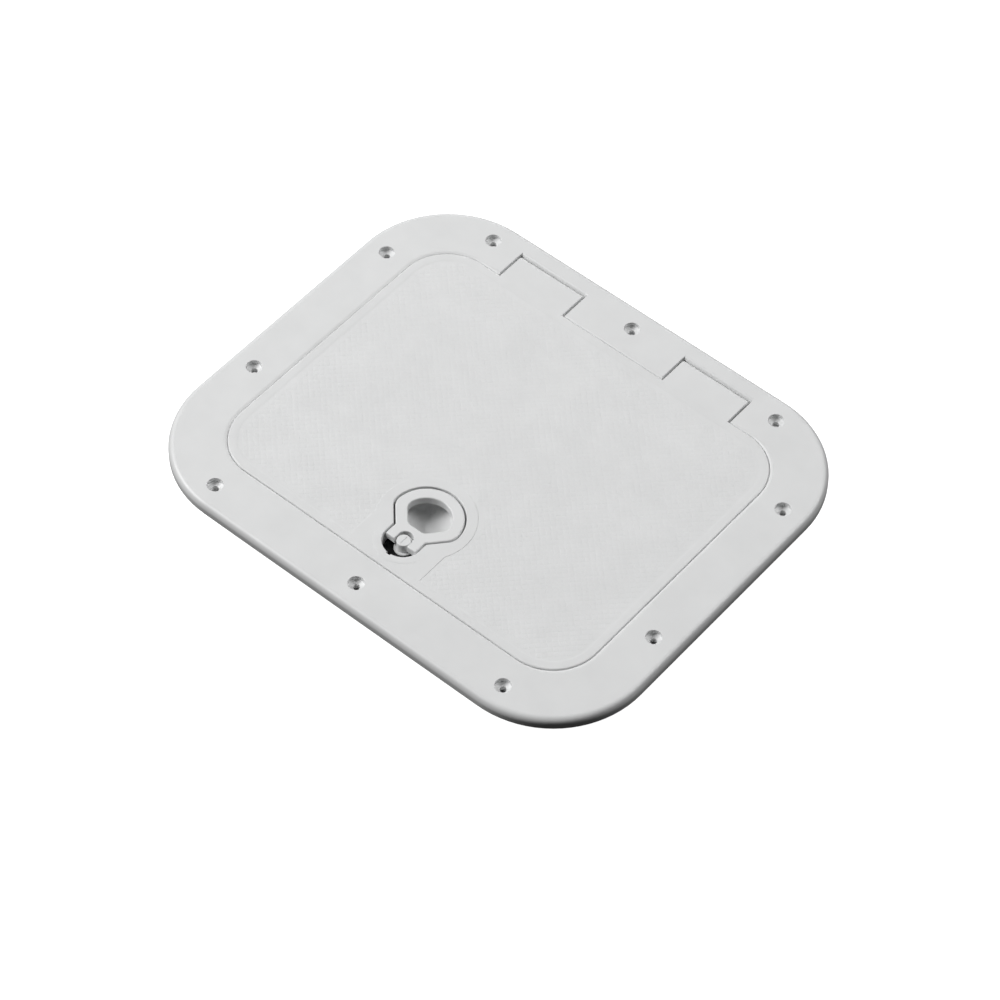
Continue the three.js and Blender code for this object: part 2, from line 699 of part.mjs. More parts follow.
// Round head in the fork's slot, a shank in the bush, and a square end for the cam.
function makeLockBarrel() {
  const squareBottomZ = CAM_TOP_Z - CAM_THICKNESS - TOUCH;
  const shankBottomZ = CAM_TOP_Z + TOUCH;
  const shankTopZ = BUSH_TOP_Z + TOUCH;
  const grooveRadius = LOCK_SHANK_RADIUS - 2 * O_RING_CORD;
  const grooveHalf = O_RING_CORD + O_RING_PLAY;
  const half = CAM_SQUARE / 2;
  const turnedPart = turned(0, LOCK_Y, [
    [0, shankBottomZ],
    [LOCK_SHANK_RADIUS, shankBottomZ],
    [LOCK_SHANK_RADIUS, O_RING_Z - grooveHalf],
    [grooveRadius, O_RING_Z - grooveHalf],
    [grooveRadius, O_RING_Z + grooveHalf],
    [LOCK_SHANK_RADIUS, O_RING_Z + grooveHalf],
    [LOCK_SHANK_RADIUS, shankTopZ],
    [LOCK_HEAD_RADIUS, shankTopZ],
    [LOCK_HEAD_RADIUS, LOCK_HEAD_TOP_Z - LOCK_HEAD_EDGE],
    [LOCK_HEAD_RADIUS - LOCK_HEAD_EDGE, LOCK_HEAD_TOP_Z],
    [0, LOCK_HEAD_TOP_Z],
  ]);
  const square = box(
    [-half, half],
    [LOCK_Y - half, LOCK_Y + half],
    [squareBottomZ, shankBottomZ + CUT],
  );
  const coinSlot = box(
    [-COIN_SLOT.width / 2, COIN_SLOT.width / 2],
    [LOCK_Y - COIN_SLOT.length / 2, LOCK_Y + COIN_SLOT.length / 2],
    [LOCK_HEAD_TOP_Z - COIN_SLOT.depth, LOCK_HEAD_TOP_Z + CUT],
  );
  const screwHole = upright(
    0,
    LOCK_Y,
    [squareBottomZ - CUT, CAM_SCREW.holeTopZ],
    CAM_SCREW.radius + TOUCH,
  );
  return turnedPart.add(square).subtract(coinSlot).subtract(screwHole);
}

function makeLockBush() {
  const bore = LOCK_SHANK_RADIUS + TOUCH;
  const flangeBottomZ = BUSH_TOP_Z - BUSH_FLANGE;
  return turned(0, LOCK_Y, [
    [bore, BUSH_BOTTOM_Z],
    [BUSH_RADIUS, BUSH_BOTTOM_Z],
    [BUSH_RADIUS, flangeBottomZ],
    [BUSH_FLANGE_RADIUS, flangeBottomZ],
    [BUSH_FLANGE_RADIUS, BUSH_TOP_Z],
    [bore, BUSH_TOP_Z],
    [bore, BUSH_BOTTOM_Z],
  ]);
}

// Flat rubber seal on the pocket's floor, under the bush's flange.
function makeBushSeal() {
  const z = [POCKET_FLOOR_Z + TOUCH, BUSH_TOP_Z - BUSH_FLANGE - TOUCH];
  return prism(pocketOutline(HANDLE_GAP / 2 - BUSH_SEAL_PLAY), z)
    .subtract(upright(0, LOCK_Y, [z[0] - CUT, z[1] + CUT], BUSH_RADIUS + TOUCH));
}

function makeLockNut() {
  const cornerRadius = LOCK_NUT_FLATS / Math.sqrt(3);
  const z = [BUSH_BOTTOM_Z, LOCK_NUT_TOP_Z];
  return upright(0, LOCK_Y, z, cornerRadius, cornerRadius, 6)
    .subtract(upright(0, LOCK_Y, [z[0] - CUT, z[1] + CUT], BUSH_RADIUS + TOUCH));
}

function makeBarrelORing() {
  const ringRadius = LOCK_SHANK_RADIUS - O_RING_CORD + O_RING_STRETCH;
  return oRing(0, LOCK_Y, O_RING_Z, ringRadius, O_RING_CORD);
}

// Thin spring washer that takes up the play between bush and cam.
function makeWaveWasher() {
  return washer(0, LOCK_Y, [CAM_TOP_Z + TOUCH, BUSH_BOTTOM_Z - TOUCH], ...WAVE_WASHER_RADII);
}

// Flat cam that points along +X while the lid is free to open.
function makeCam() {
  const tipX = CAM_REACH - CAM_TIP_RADIUS;
  const outline = new THREE.Shape();
  outline.absarc(0, 0, CAM_HUB_RADIUS, Math.PI / 2, 1.5 * Math.PI);
  outline.absarc(tipX, 0, CAM_TIP_RADIUS, -Math.PI / 2, Math.PI / 2);
  outline.closePath();
  const half = CAM_SQUARE / 2 + TOUCH;
  const z = [CAM_TOP_Z - CAM_THICKNESS, CAM_TOP_Z];
  return prism(outline, z)
    .translate([0, LOCK_Y, 0])
    .subtract(box([-half, half], [LOCK_Y - half, LOCK_Y + half], [z[0] - CUT, z[1] + CUT]));
}

function makeCamWasher() {
  const top = CAM_TOP_Z - CAM_THICKNESS - 2 * TOUCH;
  const z = [top - CAM_WASHER.thickness, top];
  return washer(0, LOCK_Y, z, CAM_SCREW.radius + TOUCH, CAM_WASHER.radius);
}

// Hex-head screw that holds the cam on the barrel's square.
function makeCamScrew() {
  const headTop = CAM_TOP_Z - CAM_THICKNESS - CAM_WASHER.thickness - 3 * TOUCH;
  const headCorner = CAM_SCREW.flats / Math.sqrt(3);
  const headZ = [headTop - CAM_SCREW.head, headTop];
  const head = upright(0, LOCK_Y, headZ, headCorner, headCorner, 6);
  return head.add(upright(0, LOCK_Y, [headTop - CUT, CAM_SCREW.topZ], CAM_SCREW.radius));
}

// ---------------------------------------------------------------- materials and assembly

const LOOKS = {
  abs: { color: 0xdcdfe0, roughness: 0.45, metalness: 0 },
  nylon: { color: 0xd9dcdc, roughness: 0.4, metalness: 0 },
  blackNylon: { color: 0x1c1d1e, roughness: 0.55, metalness: 0 },
  stainless: { color: 0xb9bcbe, roughness: 0.3, metalness: 1 },
  rubber: { color: 0x17181a, roughness: 0.9, metalness: 0 },
};

const hatch = new THREE.Group();

function addPiece(name, piece, look) {
  const { vertProperties, triVerts } = piece.getMesh();
  const geometry = new THREE.BufferGeometry();
  geometry.setAttribute('position', new THREE.BufferAttribute(vertProperties, 3));
  geometry.setIndex(new THREE.BufferAttribute(triVerts, 1));
  geometry.computeVertexNormals();
  const mesh = new THREE.Mesh(geometry, new THREE.MeshStandardMaterial(LOOKS[look]));
  mesh.name = name;
  hatch.add(mesh);
}

addPiece('frame', makeFrame(), 'abs');
addPiece('gasket', makeGasket(), 'rubber');
for (const [side, sign] of [['left', -1], ['right', 1]]) {
  const x = sign * HINGE_X;
  addPiece(`hinge_pin_${side}`, makeHingePin(x), 'stainless');
  addPiece(`pin_keeper_${side}`, makePinKeeper(x), 'abs');
  addPiece(`keeper_screw_${side}_outer`, makeKeeperScrew(x + sign * keeperScrewX()), 'stainless');
  addPiece(`keeper_screw_${side}_inner`, makeKeeperScrew(x - sign * keeperScrewX()), 'stainless');
  addPiece(`handle_pin_${side}`, makeHandlePin(sign), 'stainless');
}
addPiece('lid', makeLid(), 'abs');
addPiece('ring_handle', makeRingHandle(), 'nylon');
addPiece('lock_bush', makeLockBush(), 'nylon');
addPiece('bush_seal', makeBushSeal(), 'rubber');
addPiece('lock_nut', makeLockNut(), 'blackNylon');
addPiece('lock_barrel', makeLockBarrel(), 'nylon');
addPiece('barrel_o_ring', makeBarrelORing(), 'rubber');
addPiece('wave_washer', makeWaveWasher(), 'stainless');
addPiece('cam', makeCam(), 'stainless');
addPiece('cam_washer', makeCamWasher(), 'stainless');
addPiece('cam_screw', makeCamScrew(), 'stainless');

export default hatch;
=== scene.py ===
# Flush boat deck hatch: moulded frame, hinged lid with a non-skid panel, folding ring
# handle and quarter-turn lock. Shapes are worked out in millimetres and made in metres.
# The origin is under the middle of the hatch: +X along its long side, +Y from the latch
# towards the hinges, +Z up.

import math

import bpy
from mathutils import Matrix, Vector


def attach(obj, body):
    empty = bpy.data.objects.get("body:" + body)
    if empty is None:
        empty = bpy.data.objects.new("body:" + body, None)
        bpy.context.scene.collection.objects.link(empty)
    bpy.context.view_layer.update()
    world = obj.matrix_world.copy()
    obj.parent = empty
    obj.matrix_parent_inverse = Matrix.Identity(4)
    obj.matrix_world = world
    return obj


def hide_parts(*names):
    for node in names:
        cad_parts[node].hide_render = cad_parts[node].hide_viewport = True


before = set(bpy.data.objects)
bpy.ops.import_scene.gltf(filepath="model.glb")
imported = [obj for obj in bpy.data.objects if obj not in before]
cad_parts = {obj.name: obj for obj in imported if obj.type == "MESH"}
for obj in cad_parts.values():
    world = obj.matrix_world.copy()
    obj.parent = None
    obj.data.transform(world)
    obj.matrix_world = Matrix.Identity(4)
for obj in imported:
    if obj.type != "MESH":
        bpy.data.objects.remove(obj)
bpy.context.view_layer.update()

MM = 0.001
PAST = 1.0  # how far a cutting shape runs past the face that it cuts
FLARE_TURN = 78  # degrees of arc in a recess's rounded top edge

# ------------------------------------------------------------------ dimensions, mm

DECK_Z = 25.5
TOP_Z = 34.0
LEDGE_Z = (17.5, 21.0)

# Plan outlines: length, width and corner radius
FLANGE = (375.0, 314.0, 72.0)
OPENING = (301.0, 237.9, 36.0)
LID = (299.8, 236.3, 35.3)

WELL_WALL = 3.2
LEDGE_WIDTH = 7.0
SKIN = 3.2
RIM_WALL = 4.0
RIM_ROUND = 4.5
WELL_EDGE = 0.45  # how far the well's top edge stands in over its wall

SCREW_PLACES = [(x, y) for x in (-121.3, 0.0, 121.3) for y in (-139.3, 139.3)]
SCREW_PLACES += [(x, y) for x in (-169.3, 169.3) for y in (-49.6, 83.8)]
SCREW_BOSS_RADIUS = 7.5
SCREW_BORE_RADIUS = 2.3
SCREW_SEAT_RADIUS = 5.35
SCREW_SEAT_DEPTH = 3.1  # straight wall of the head's seat
SCREW_CONE_DEPTH = 4.3  # foot of the cone below it

FRONT_RIB_X = (-92.0, -62.0, -31.0, 31.0, 62.0, 92.0)
REAR_RIB_X = (-20.0, 20.0)
SHORT_SIDE_RIB_Y = (-82.0, -17.0, 17.0, 51.0)
LID_RIB_X = (-100.0, -50.0, 0.0, 50.0, 100.0)
LID_RIB_Y = (-30.0, 20.0, 70.0)
RIB = 2.0

EASE_WIDTH = 2.4  # soft fall of the flange towards the well
EASE_DROP = 0.8
LID_EDGE = 1.1
SKIRT_WALL = 2.6
SKIRT_Z = 24.5
PANEL_INSET = 6.3
PANEL_DROP = 0.26
NONSKID_PITCH = 3.8
NONSKID_MARGIN = 2.6
NONSKID_STEPS = ((2.25, -0.04), (1.95, 0.07), (1.6, 0.11))  # half-diagonal and height

HINGE_X = 70.33
HINGE_AXIS = (138.0, 30.4)  # y, z
KNUCKLE_RADIUS = 3.6
TAB_WIDTH = 54.5
TAB_THICKNESS = 3.4
NOTCH_WIDTH = 57.5
NOTCH_REAR_Y = 142.2
NOTCH_FLOOR_Z = 30.2
NOTCH_EASE = 2.4  # radius of the notch's rear edge
HINGE_PIN_RADIUS = 1.5
HINGE_PIN_LENGTH = 68.0
PIN_SEAT_HALF = 1.8
KEEPER_SCREW_X = (NOTCH_WIDTH + HINGE_PIN_LENGTH) / 4
KEEPER_SCREW_Y = 128.5
KEEPER_PAD_Z = 28.6

# Rib under the ledge that the cam turns under
KEEPER_RIB_HALF = 24.0
KEEPER_RIB_Z = 15.7

# The keyhole-shaped gap round the handle; sizes of the gap's middle line
HEAD_RADIUS = 25.2
HEAD_Y = -71.2
TAIL_HALF = 13.1
TAIL_CORNER_Y = -87.2
TAIL_END_Y = -94.0
TAPER = math.radians(42)
SHOULDER = 3.5
HALF_GAP = 0.58

RECESS_Z = 27.5
POCKET_Z = 23.0
POCKET_REAR_Y = -86.5
POCKET_WALL = 2.4
WELL_Y = -66.8
WELL_SIZE = (22.4, 20.4, 9.0)
WELL_SHELL = 2.0
WELL_POWER = 0.7  # 1 for an ellipsoid, less for a flatter floor
ISLAND_RADIUS = 33.3
ISLAND_HALF = 29.2
LIP_RADIUS = 19.8
LIP_RISE = 0.4

HANDLE_Z = (28.3, 33.9)
FINGER_HOLE_RADIUS = 16.6
FINGER_HOLE_FRONT_Y = -81.6
FORK_HALF = 5.3
FORK_END_Y = -86.6
HANDLE_AXIS = (-93.5, 30.0)  # y, z
HANDLE_KNUCKLE = 3.2
HANDLE_PIN_RADIUS = 1.5
HANDLE_PIN_X = (6.0, 16.0)
HANDLE_PIN_PLAY = 0.15

LOCK_Y = -93.5
LOCK_HEAD_RADIUS = 4.75
LOCK_HEAD_Z = 33.0
BUSH_Z = (16.6, 25.7)
BUSH_HOLE_RADIUS = 5.7
NUT_TOP_Z = 20.3
NUT_ACROSS_FLATS = 15.0
CAM_Z = (12.9, 15.4)
CAM_SCREW_HEAD_Z = (8.4, 11.2)
CAM_SCREW_ACROSS_FLATS = 7.0


# ------------------------------------------------------------------ outlines

def arc(x, y, radius, start, end, steps):
    """Points of an arc from one angle to another, in degrees, both ends included."""
    turns = [math.radians(start + (end - start) * i / steps) for i in range(steps + 1)]
    return [(x + radius * math.cos(t), y + radius * math.sin(t)) for t in turns]


def curve(start, corner, end, steps=6):
    """Points of a quadratic curve, without its first point."""
    points = []
    for i in range(1, steps + 1):
        t = i / steps
        weights = ((1 - t) ** 2, 2 * t * (1 - t), t * t)
        points.append(tuple(
            sum(w * p[axis] for w, p in zip(weights, (start, corner, end)))
            for axis in (0, 1)
        ))
    return points


def rounded(length, width, corner, inset=0.0, steps=20):
    """Rectangle round the origin with round corners, made smaller all round by inset."""
    x = length / 2 - corner
    y = width / 2 - corner
    points = []
    for quarter, (sx, sy) in enumerate(((1, 1), (-1, 1), (-1, -1), (1, -1))):
        start = 90 * quarter
        points += arc(sx * x, sy * y, corner - inset, start, start + 90, steps)
    return points


def rectangle(x, y, corner=0.5, steps=3):
    """Rectangle from x[0] to x[1] and y[0] to y[1] with small round corners."""
    middle = ((x[0] + x[1]) / 2, (y[0] + y[1]) / 2)
    points = rounded(x[1] - x[0], y[1] - y[0], corner, steps=steps)
    return [(px + middle[0], py + middle[1]) for px, py in points]


def circle(x, y, radius, steps=48):
    return arc(x, y, radius, 0, 360, steps)[:-1]


def offset(points, distance):
    """The outline grown outwards by distance, each corner along its mitre."""
    grown = []
    for i, here in enumerate(points):
        before = Vector(here) - Vector(points[i - 1])
        after = Vector(points[(i + 1) % len(points)]) - Vector(here)
        sides = [Vector((e.y, -e.x)).normalized() for e in (before, after)]
        mitre = (sides[0] + sides[1]).normalized()
        grown.append(tuple(Vector(here) + mitre * distance / max(0.5, mitre.dot(sides[0]))))
    return grown


def keyhole_head(grow):
    """The keyhole's round head and tapers, from the right tail corner to the left one."""
    corner = Vector((TAIL_HALF + grow, TAIL_CORNER_Y - grow * math.tan(TAPER / 2)))
    along = Vector((math.sin(TAPER), math.cos(TAPER)))
    from_centre = corner - Vector((0, HEAD_Y))
    radius = HEAD_RADIUS + grow
    towards = from_centre.dot(along)
    distance = math.sqrt(towards ** 2 - from_centre.length_squared + radius ** 2) - towards
    sharp = corner + along * distance
    angle = math.degrees(math.atan2(sharp.y - HEAD_Y, sharp.x) + SHOULDER / radius)
    taper_end = sharp - along * SHOULDER
    head = arc(0, HEAD_Y, radius, angle, 180 - angle, 48)
    right = [tuple(corner), tuple(taper_end)] + curve(taper_end, sharp, head[0])[:-1]
    left = [(-x, y) for x, y in reversed(right)]
    return right + head + left


def recess_outline(grow):
    """The keyhole gap's middle line with its round tail, grown outwards."""
    tail = arc(0, TAIL_END_Y, TAIL_HALF + grow, 180, 360, 32)
    return tail + keyhole_head(grow)


def pocket_outline(grow):
    """The keyhole's tail alone, straight at the rear, where the lock stands."""
    half = TAIL_HALF + grow
    tail = arc(0, TAIL_END_Y, half, 180, 360, 32)
    return tail + [(half, POCKET_REAR_Y), (-half, POCKET_REAR_Y)]


def handle_outline():
    """The keyhole's head as far as the front of the handle's knuckle."""
    nose_y = HANDLE_AXIS[0] - HANDLE_KNUCKLE
    head = keyhole_head(-HALF_GAP)
    return [(head[-1][0], nose_y), (head[0][0], nose_y)] + head


def finger_hole_outline():
    """The head's shape again, smaller, with a straight front edge and round corners."""
    head = keyhole_head(FINGER_HOLE_RADIUS - HEAD_RADIUS)
    corner_x, corner_y = head[0]
    half = corner_x + (FINGER_HOLE_FRONT_Y - corner_y) * math.tan(TAPER)
    soft = 2.5
    front_right = (half, FINGER_HOLE_FRONT_Y)
    start = (half - soft, FINGER_HOLE_FRONT_Y)
    end = (half + soft * math.sin(TAPER), FINGER_HOLE_FRONT_Y + soft * math.cos(TAPER))
    right = [start] + curve(start, front_right, end)
    left = [(-x, y) for x, y in reversed(right)]
    above = [p for p in head if p[1] > end[1]]
    return right + above + left


def island_outline():
    """Smooth field round the latch: a round head on a straight-sided foot."""
    drop = math.degrees(math.acos(ISLAND_HALF / ISLAND_RADIUS))
    front_y = -LID[1] / 2 + 2
    head = arc(0, HEAD_Y, ISLAND_RADIUS, -drop, 180 + drop, 72)
    return [(-ISLAND_HALF, front_y), (ISLAND_HALF, front_y)] + head


# ------------------------------------------------------------------ mesh building

def make(name, points, faces):
    """Mesh object from points in millimetres."""
    mesh = bpy.data.meshes.new(name)
    mesh.from_pydata([Vector(p) * MM for p in points], [], faces)
    mesh.validate()
    piece = bpy.data.objects.new(name, mesh)
    bpy.context.scene.collection.objects.link(piece)
    return piece


def loft(name, rings, loop=False):
    """Closed skin through rings of as many points each; loop joins the last to the first."""
    count = len(rings[0])
    points = [p for ring in rings for p in ring]
    last = len(rings) if loop else len(rings) - 1
    faces = []
    for r in range(last):
        low = r * count
        high = (r + 1) % len(rings) * count
        for i in range(count):
            j = (i + 1) % count
            faces.append((low + i, low + j, high + j, high + i))
    if not loop:
        faces.append(tuple(reversed(range(count))))
        faces.append(tuple(range((len(rings) - 1) * count, len(rings) * count)))
    return make(name, points, faces)


def at_height(outline, z):
    return [(x, y, z) for x, y in outline]


def quarter(radius, steps=5, turn=90):
    """Pairs (in, up) round a quarter circle, or part of it, from the wall to the flat."""
    angles = [math.radians(turn * i / steps) for i in range(steps + 1)]
    return [(radius * (1 - math.cos(t)), radius * math.sin(t)) for t in angles]


def block(name, outline, z, bottom=0.4, top=0.0):
    """Upright solid on an outline, with its bottom and top edges rounded."""
    rings = []
    for inwards, up in reversed(quarter(bottom, 4)):
        rings.append(at_height(offset(outline, -inwards), z[0] + bottom - up))
    if top:
        for inwards, up in quarter(top, 4):
            rings.append(at_height(offset(outline, -inwards), z[1] - top + up))
    else:
        rings.append(at_height(outline, z[1]))
    return loft(name, rings)


def pit(name, outline, floor_z, top_z, floor_round=0.8, flare=0.6):
    """Cutting shape for a recess: round at its floor, and flared to round the edge above."""
    rings = []
    for inwards, up in reversed(quarter(floor_round, 4)):
        rings.append(at_height(offset(outline, -inwards), floor_z + floor_round - up))
    edge = quarter(flare, 5, FLARE_TURN)
    for outwards, up in edge:
        rings.append(at_height(offset(outline, outwards), top_z + up - edge[-1][1]))
    rings.append(at_height(offset(outline, edge[-1][0]), top_z + PAST))
    return loft(name, rings)


def turned(name, x, y, profile, steps=48):
    """Solid turned about an upright axis; the profile is (radius, z) from the bottom up."""
    rings = []
    for radius, z in profile:
        rings.append(at_height(circle(x, y, max(radius, 0.01), steps), z))
    return loft(name, rings)


def ring_turned(name, x, y, section, steps=64):
    """Ring turned about an upright axis; the section goes up its outside first."""
    rings = [at_height(circle(x, y, radius, steps), z) for radius, z in section]
    return loft(name, rings, loop=True)


def crosswise(name, x, y, z, radius, end_round=0.0, steps=32):
    """Cylinder along X with rounded ends."""
    end = [(x[0] + inwards, radius - end_round + up) for inwards, up in quarter(end_round, 4)]
    other_end = [(x[0] + x[1] - px, r) for px, r in reversed(end)]
    turns = [2 * math.pi * i / steps for i in range(steps)]
    rings = []
    for px, r in end + other_end:
        rings.append([(px, y + r * math.cos(t), z + r * math.sin(t)) for t in turns])
    return loft(name, rings)


def bowl(name, centre, size, steps=64, rows=16):
    """Bowl with a flattened floor, and a straight wall above it."""
    rings = []
    for row in range(1, rows + 1):
        t = math.pi / 2 * row / rows
        scale = math.sin(t) ** WELL_POWER
        z = centre[2] - size[2] * math.cos(t)
        rings.append([(centre[0] + size[0] * scale * c, centre[1] + size[1] * scale * s, z)
                      for c, s in circle(0, 0, 1, steps)])
    rings.append([(x, y, centre[2] + PAST) for x, y, _ in rings[-1]])
    return loft(name, rings)


def joined(*pieces):
    """One object from several."""
    points, faces = [], []
    for piece in pieces:
        first = len(points)
        points += [v.co / MM for v in piece.data.vertices]
        faces += [tuple(first + i for i in f.vertices) for f in piece.data.polygons]
    name = pieces[0].name
    for piece in pieces:
        bpy.data.objects.remove(piece)
    return make(name, points, faces)


def combine(target, tool, operation):
    """Boolean of two closed meshes; the tool is used up."""
    modifier = target.modifiers.new("combine", "BOOLEAN")
    modifier.operation = operation
    modifier.solver = "MANIFOLD"
    modifier.object = tool
    depsgraph = bpy.context.evaluated_depsgraph_get()
    mesh = bpy.data.meshes.new_from_object(target.evaluated_get(depsgraph))
    target.modifiers.clear()
    target.data = mesh
    bpy.data.objects.remove(tool)


def add(target, *tools):
    for tool in tools:
        combine(target, tool, "UNION")


def cut(target, *tools):
    for tool in tools:
        combine(target, tool, "DIFFERENCE")


# ------------------------------------------------------------------ materials

def material(name, colour, roughness, metallic=0.0):
    """A principled material, with its node tree, shader and object coordinates."""
    made = bpy.data.materials.new(name)
    made.use_nodes = True
    tree = made.node_tree
    shader = tree.nodes["Principled BSDF"]
    shader.inputs["Base Color"].default_value = (*colour, 1)
    shader.inputs["Roughness"].default_value = roughness
    shader.inputs["Metallic"].default_value = metallic
    place = tree.nodes.new("ShaderNodeTexCoord").outputs["Object"]
    return made, tree, shader, place


def noise(tree, place, scale, detail=2.0, stretch=None):
    """Noise with so many features to a metre."""
    if stretch:
        mapping = tree.nodes.new("ShaderNodeMapping")
        mapping.inputs["Scale"].default_value = stretch
        tree.links.new(place, mapping.inputs["Vector"])
        place = mapping.outputs["Vector"]
    node = tree.nodes.new("ShaderNodeTexNoise")
    node.inputs["Scale"].default_value = scale
    node.inputs["Detail"].default_value = detail
    tree.links.new(place, node.inputs["Vector"])
    return node.outputs["Fac"]


def ranged(tree, value, low, high):
    """Noise spread between two values."""
    node = tree.nodes.new("ShaderNodeMapRange")
    node.inputs["From Min"].default_value = 0.3
    node.inputs["From Max"].default_value = 0.7
    node.inputs["To Min"].default_value = low
    node.inputs["To Max"].default_value = high
    tree.links.new(value, node.inputs["Value"])
    return node.outputs["Result"]


def tinted(tree, value, low, high):
    """Noise spread between two colours."""
    ramp = tree.nodes.new("ShaderNodeValToRGB")
    ramp.color_ramp.elements[0].position = 0.3
    ramp.color_ramp.elements[0].color = (*low, 1)
    ramp.color_ramp.elements[1].position = 0.7
    ramp.color_ramp.elements[1].color = (*high, 1)
    tree.links.new(value, ramp.inputs["Fac"])
    return ramp.outputs["Color"]


def bump(tree, shader, height, distance):
    """Bump of a height in millimetres."""
    node = tree.nodes.new("ShaderNodeBump")
    node.inputs["Distance"].default_value = distance * MM
    tree.links.new(height, node.inputs["Height"])
    tree.links.new(node.outputs["Normal"], shader.inputs["Normal"])


def moulded_plastic(name, low, high, roughness, grain):
    """Satin moulding with a fine spark-eroded grain and faint cloudiness."""
    made, tree, shader, place = material(name, high, roughness)
    clouds = noise(tree, place, 45, 3)
    tree.links.new(tinted(tree, clouds, low, high), shader.inputs["Base Color"])
    sheen = ranged(tree, noise(tree, place, 160, 2), roughness - 0.04, roughness + 0.04)
    tree.links.new(sheen, shader.inputs["Roughness"])
    bump(tree, shader, noise(tree, place, 1600, 3), grain)
    return made


def brushed_steel():
    made, tree, shader, place = material("brushed_steel", (0.56, 0.57, 0.58), 0.3, 1.0)
    lines = noise(tree, place, 900, 3, (0.06, 1.0, 1.0))
    tree.links.new(ranged(tree, lines, 0.24, 0.4), shader.inputs["Roughness"])
    bump(tree, shader, lines, 0.02)
    return made


def foam_rubber():
    made, tree, shader, place = material("foam_rubber", (0.018, 0.018, 0.02), 0.85)
    cells = noise(tree, place, 1400, 4)
    dark, light = (0.012, 0.012, 0.013), (0.028, 0.028, 0.03)
    tree.links.new(tinted(tree, cells, dark, light), shader.inputs["Base Color"])
    bump(tree, shader, cells, 0.12)
    return made


def abs_plastic():
    return moulded_plastic("satin_abs", (0.715, 0.72, 0.72), (0.745, 0.75, 0.75), 0.42, 0.012)


def white_nylon():
    return moulded_plastic("white_nylon", (0.74, 0.745, 0.745), (0.76, 0.765, 0.765), 0.36, 0.008)


def black_nylon():
    return moulded_plastic("black_nylon", (0.018, 0.018, 0.019), (0.024, 0.024, 0.026), 0.5, 0.015)


# The look of each of the record's material slots
ABS, NYLON, BLACK = "abs_white", "nylon_white", "nylon_black"
STEEL, RUBBER = "stainless", "rubber_black"
LOOKS = {
    ABS: abs_plastic(),
    NYLON: white_nylon(),
    BLACK: black_nylon(),
    STEEL: brushed_steel(),
    RUBBER: foam_rubber(),
}


def dress(piece, slot, body, *nodes):
    """Smooths and colours a piece, hangs it on its body and lets it stand for CAD nodes."""
    mesh = piece.data
    mesh.materials.clear()
    mesh.materials.append(LOOKS[slot])
    mesh.shade_smooth()
    mesh.set_sharp_from_angle(angle=math.radians(38))
    normals = piece.modifiers.new("normals", "WEIGHTED_NORMAL")
    normals.keep_sharp = True
    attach(piece, body)
    if nodes:
        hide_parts(*nodes)


# ------------------------------------------------------------------ frame

def frame_section():
    """Rings round the frame's closed section: up the rim, over the top and down the well."""
    collar = -WELL_WALL
    flange = [(0.5, DECK_Z), (0.15, DECK_Z + 0.15), (0.0, DECK_Z + 0.5)]
    flange += [(i, TOP_Z - RIM_ROUND + up) for i, up in quarter(RIM_ROUND, 10)]
    rings = [(FLANGE, inset, z) for inset, z in flange]
    steepest = math.radians(60)
    for i in range(7):
        turn = steepest * i / 6
        inset = WELL_EDGE - 0.1 - EASE_WIDTH * (1 - math.sin(turn) / math.sin(steepest))
        drop = EASE_DROP * (1 - math.cos(turn)) / (1 - math.cos(steepest))
        rings.append((OPENING, inset, TOP_Z - drop))
    rings += [(OPENING, WELL_EDGE, TOP_Z - EASE_DROP - 0.2)]
    rings += [(OPENING, WELL_EDGE, TOP_Z - 2.8), (OPENING, 0, TOP_Z - 3.2)]
    rings += [(OPENING, 0, LEDGE_Z[1]), (OPENING, LEDGE_WIDTH - 0.4, LEDGE_Z[1])]
    rings += [(OPENING, LEDGE_WIDTH, LEDGE_Z[1] - 0.4), (OPENING, LEDGE_WIDTH, LEDGE_Z[0])]
    rings += [(OPENING, 0, LEDGE_Z[0]), (OPENING, 0, 0.5), (OPENING, -0.5, 0.0)]
    rings += [(OPENING, collar + 0.5, 0.0), (OPENING, collar, 0.5)]
    rings += [(OPENING, collar, TOP_Z - SKIN - 0.8), (OPENING, collar - 0.8, TOP_Z - SKIN)]
    rings += [(FLANGE, RIM_WALL + 0.8, TOP_Z - SKIN), (FLANGE, RIM_WALL, TOP_Z - SKIN - 0.8)]
    rings += [(FLANGE, RIM_WALL, DECK_Z + 0.3), (FLANGE, RIM_WALL - 0.3, DECK_Z)]
    return [at_height(rounded(*base, inset), z) for base, inset, z in rings]


def flange_stiffeners():
    z = (DECK_Z + 0.2, TOP_Z - 1)
    half = RIB / 2
    rim_y = FLANGE[1] / 2 - 2
    rim_x = FLANGE[0] / 2 - 2
    wall_y = OPENING[1] / 2 + 1.5
    wall_x = OPENING[0] / 2 + 1.5
    tools = [
        block("rib", rectangle((x - half, x + half), (-rim_y, -wall_y)), z) for x in FRONT_RIB_X
    ]
    tools += [
        block("rib", rectangle((x - half, x + half), (wall_y, rim_y)), z) for x in REAR_RIB_X
    ]
    for y in SHORT_SIDE_RIB_Y:
        for side in (-1, 1):
            ends = sorted((side * wall_x, side * rim_x))
            tools.append(block("rib", rectangle(ends, (y - half, y + half)), z))
    boss_z = (DECK_Z, TOP_Z - 1)
    tools += [block("boss", circle(x, y, SCREW_BOSS_RADIUS), boss_z) for x, y in SCREW_PLACES]
    for x in (-HINGE_X, HINGE_X):
        across = (x - NOTCH_WIDTH / 2 - 7.5, x + NOTCH_WIDTH / 2 + 7.5)
        tools.append(block("blocks", rectangle(across, (wall_y, NOTCH_REAR_Y + 3)), boss_z))
    return joined(*tools)


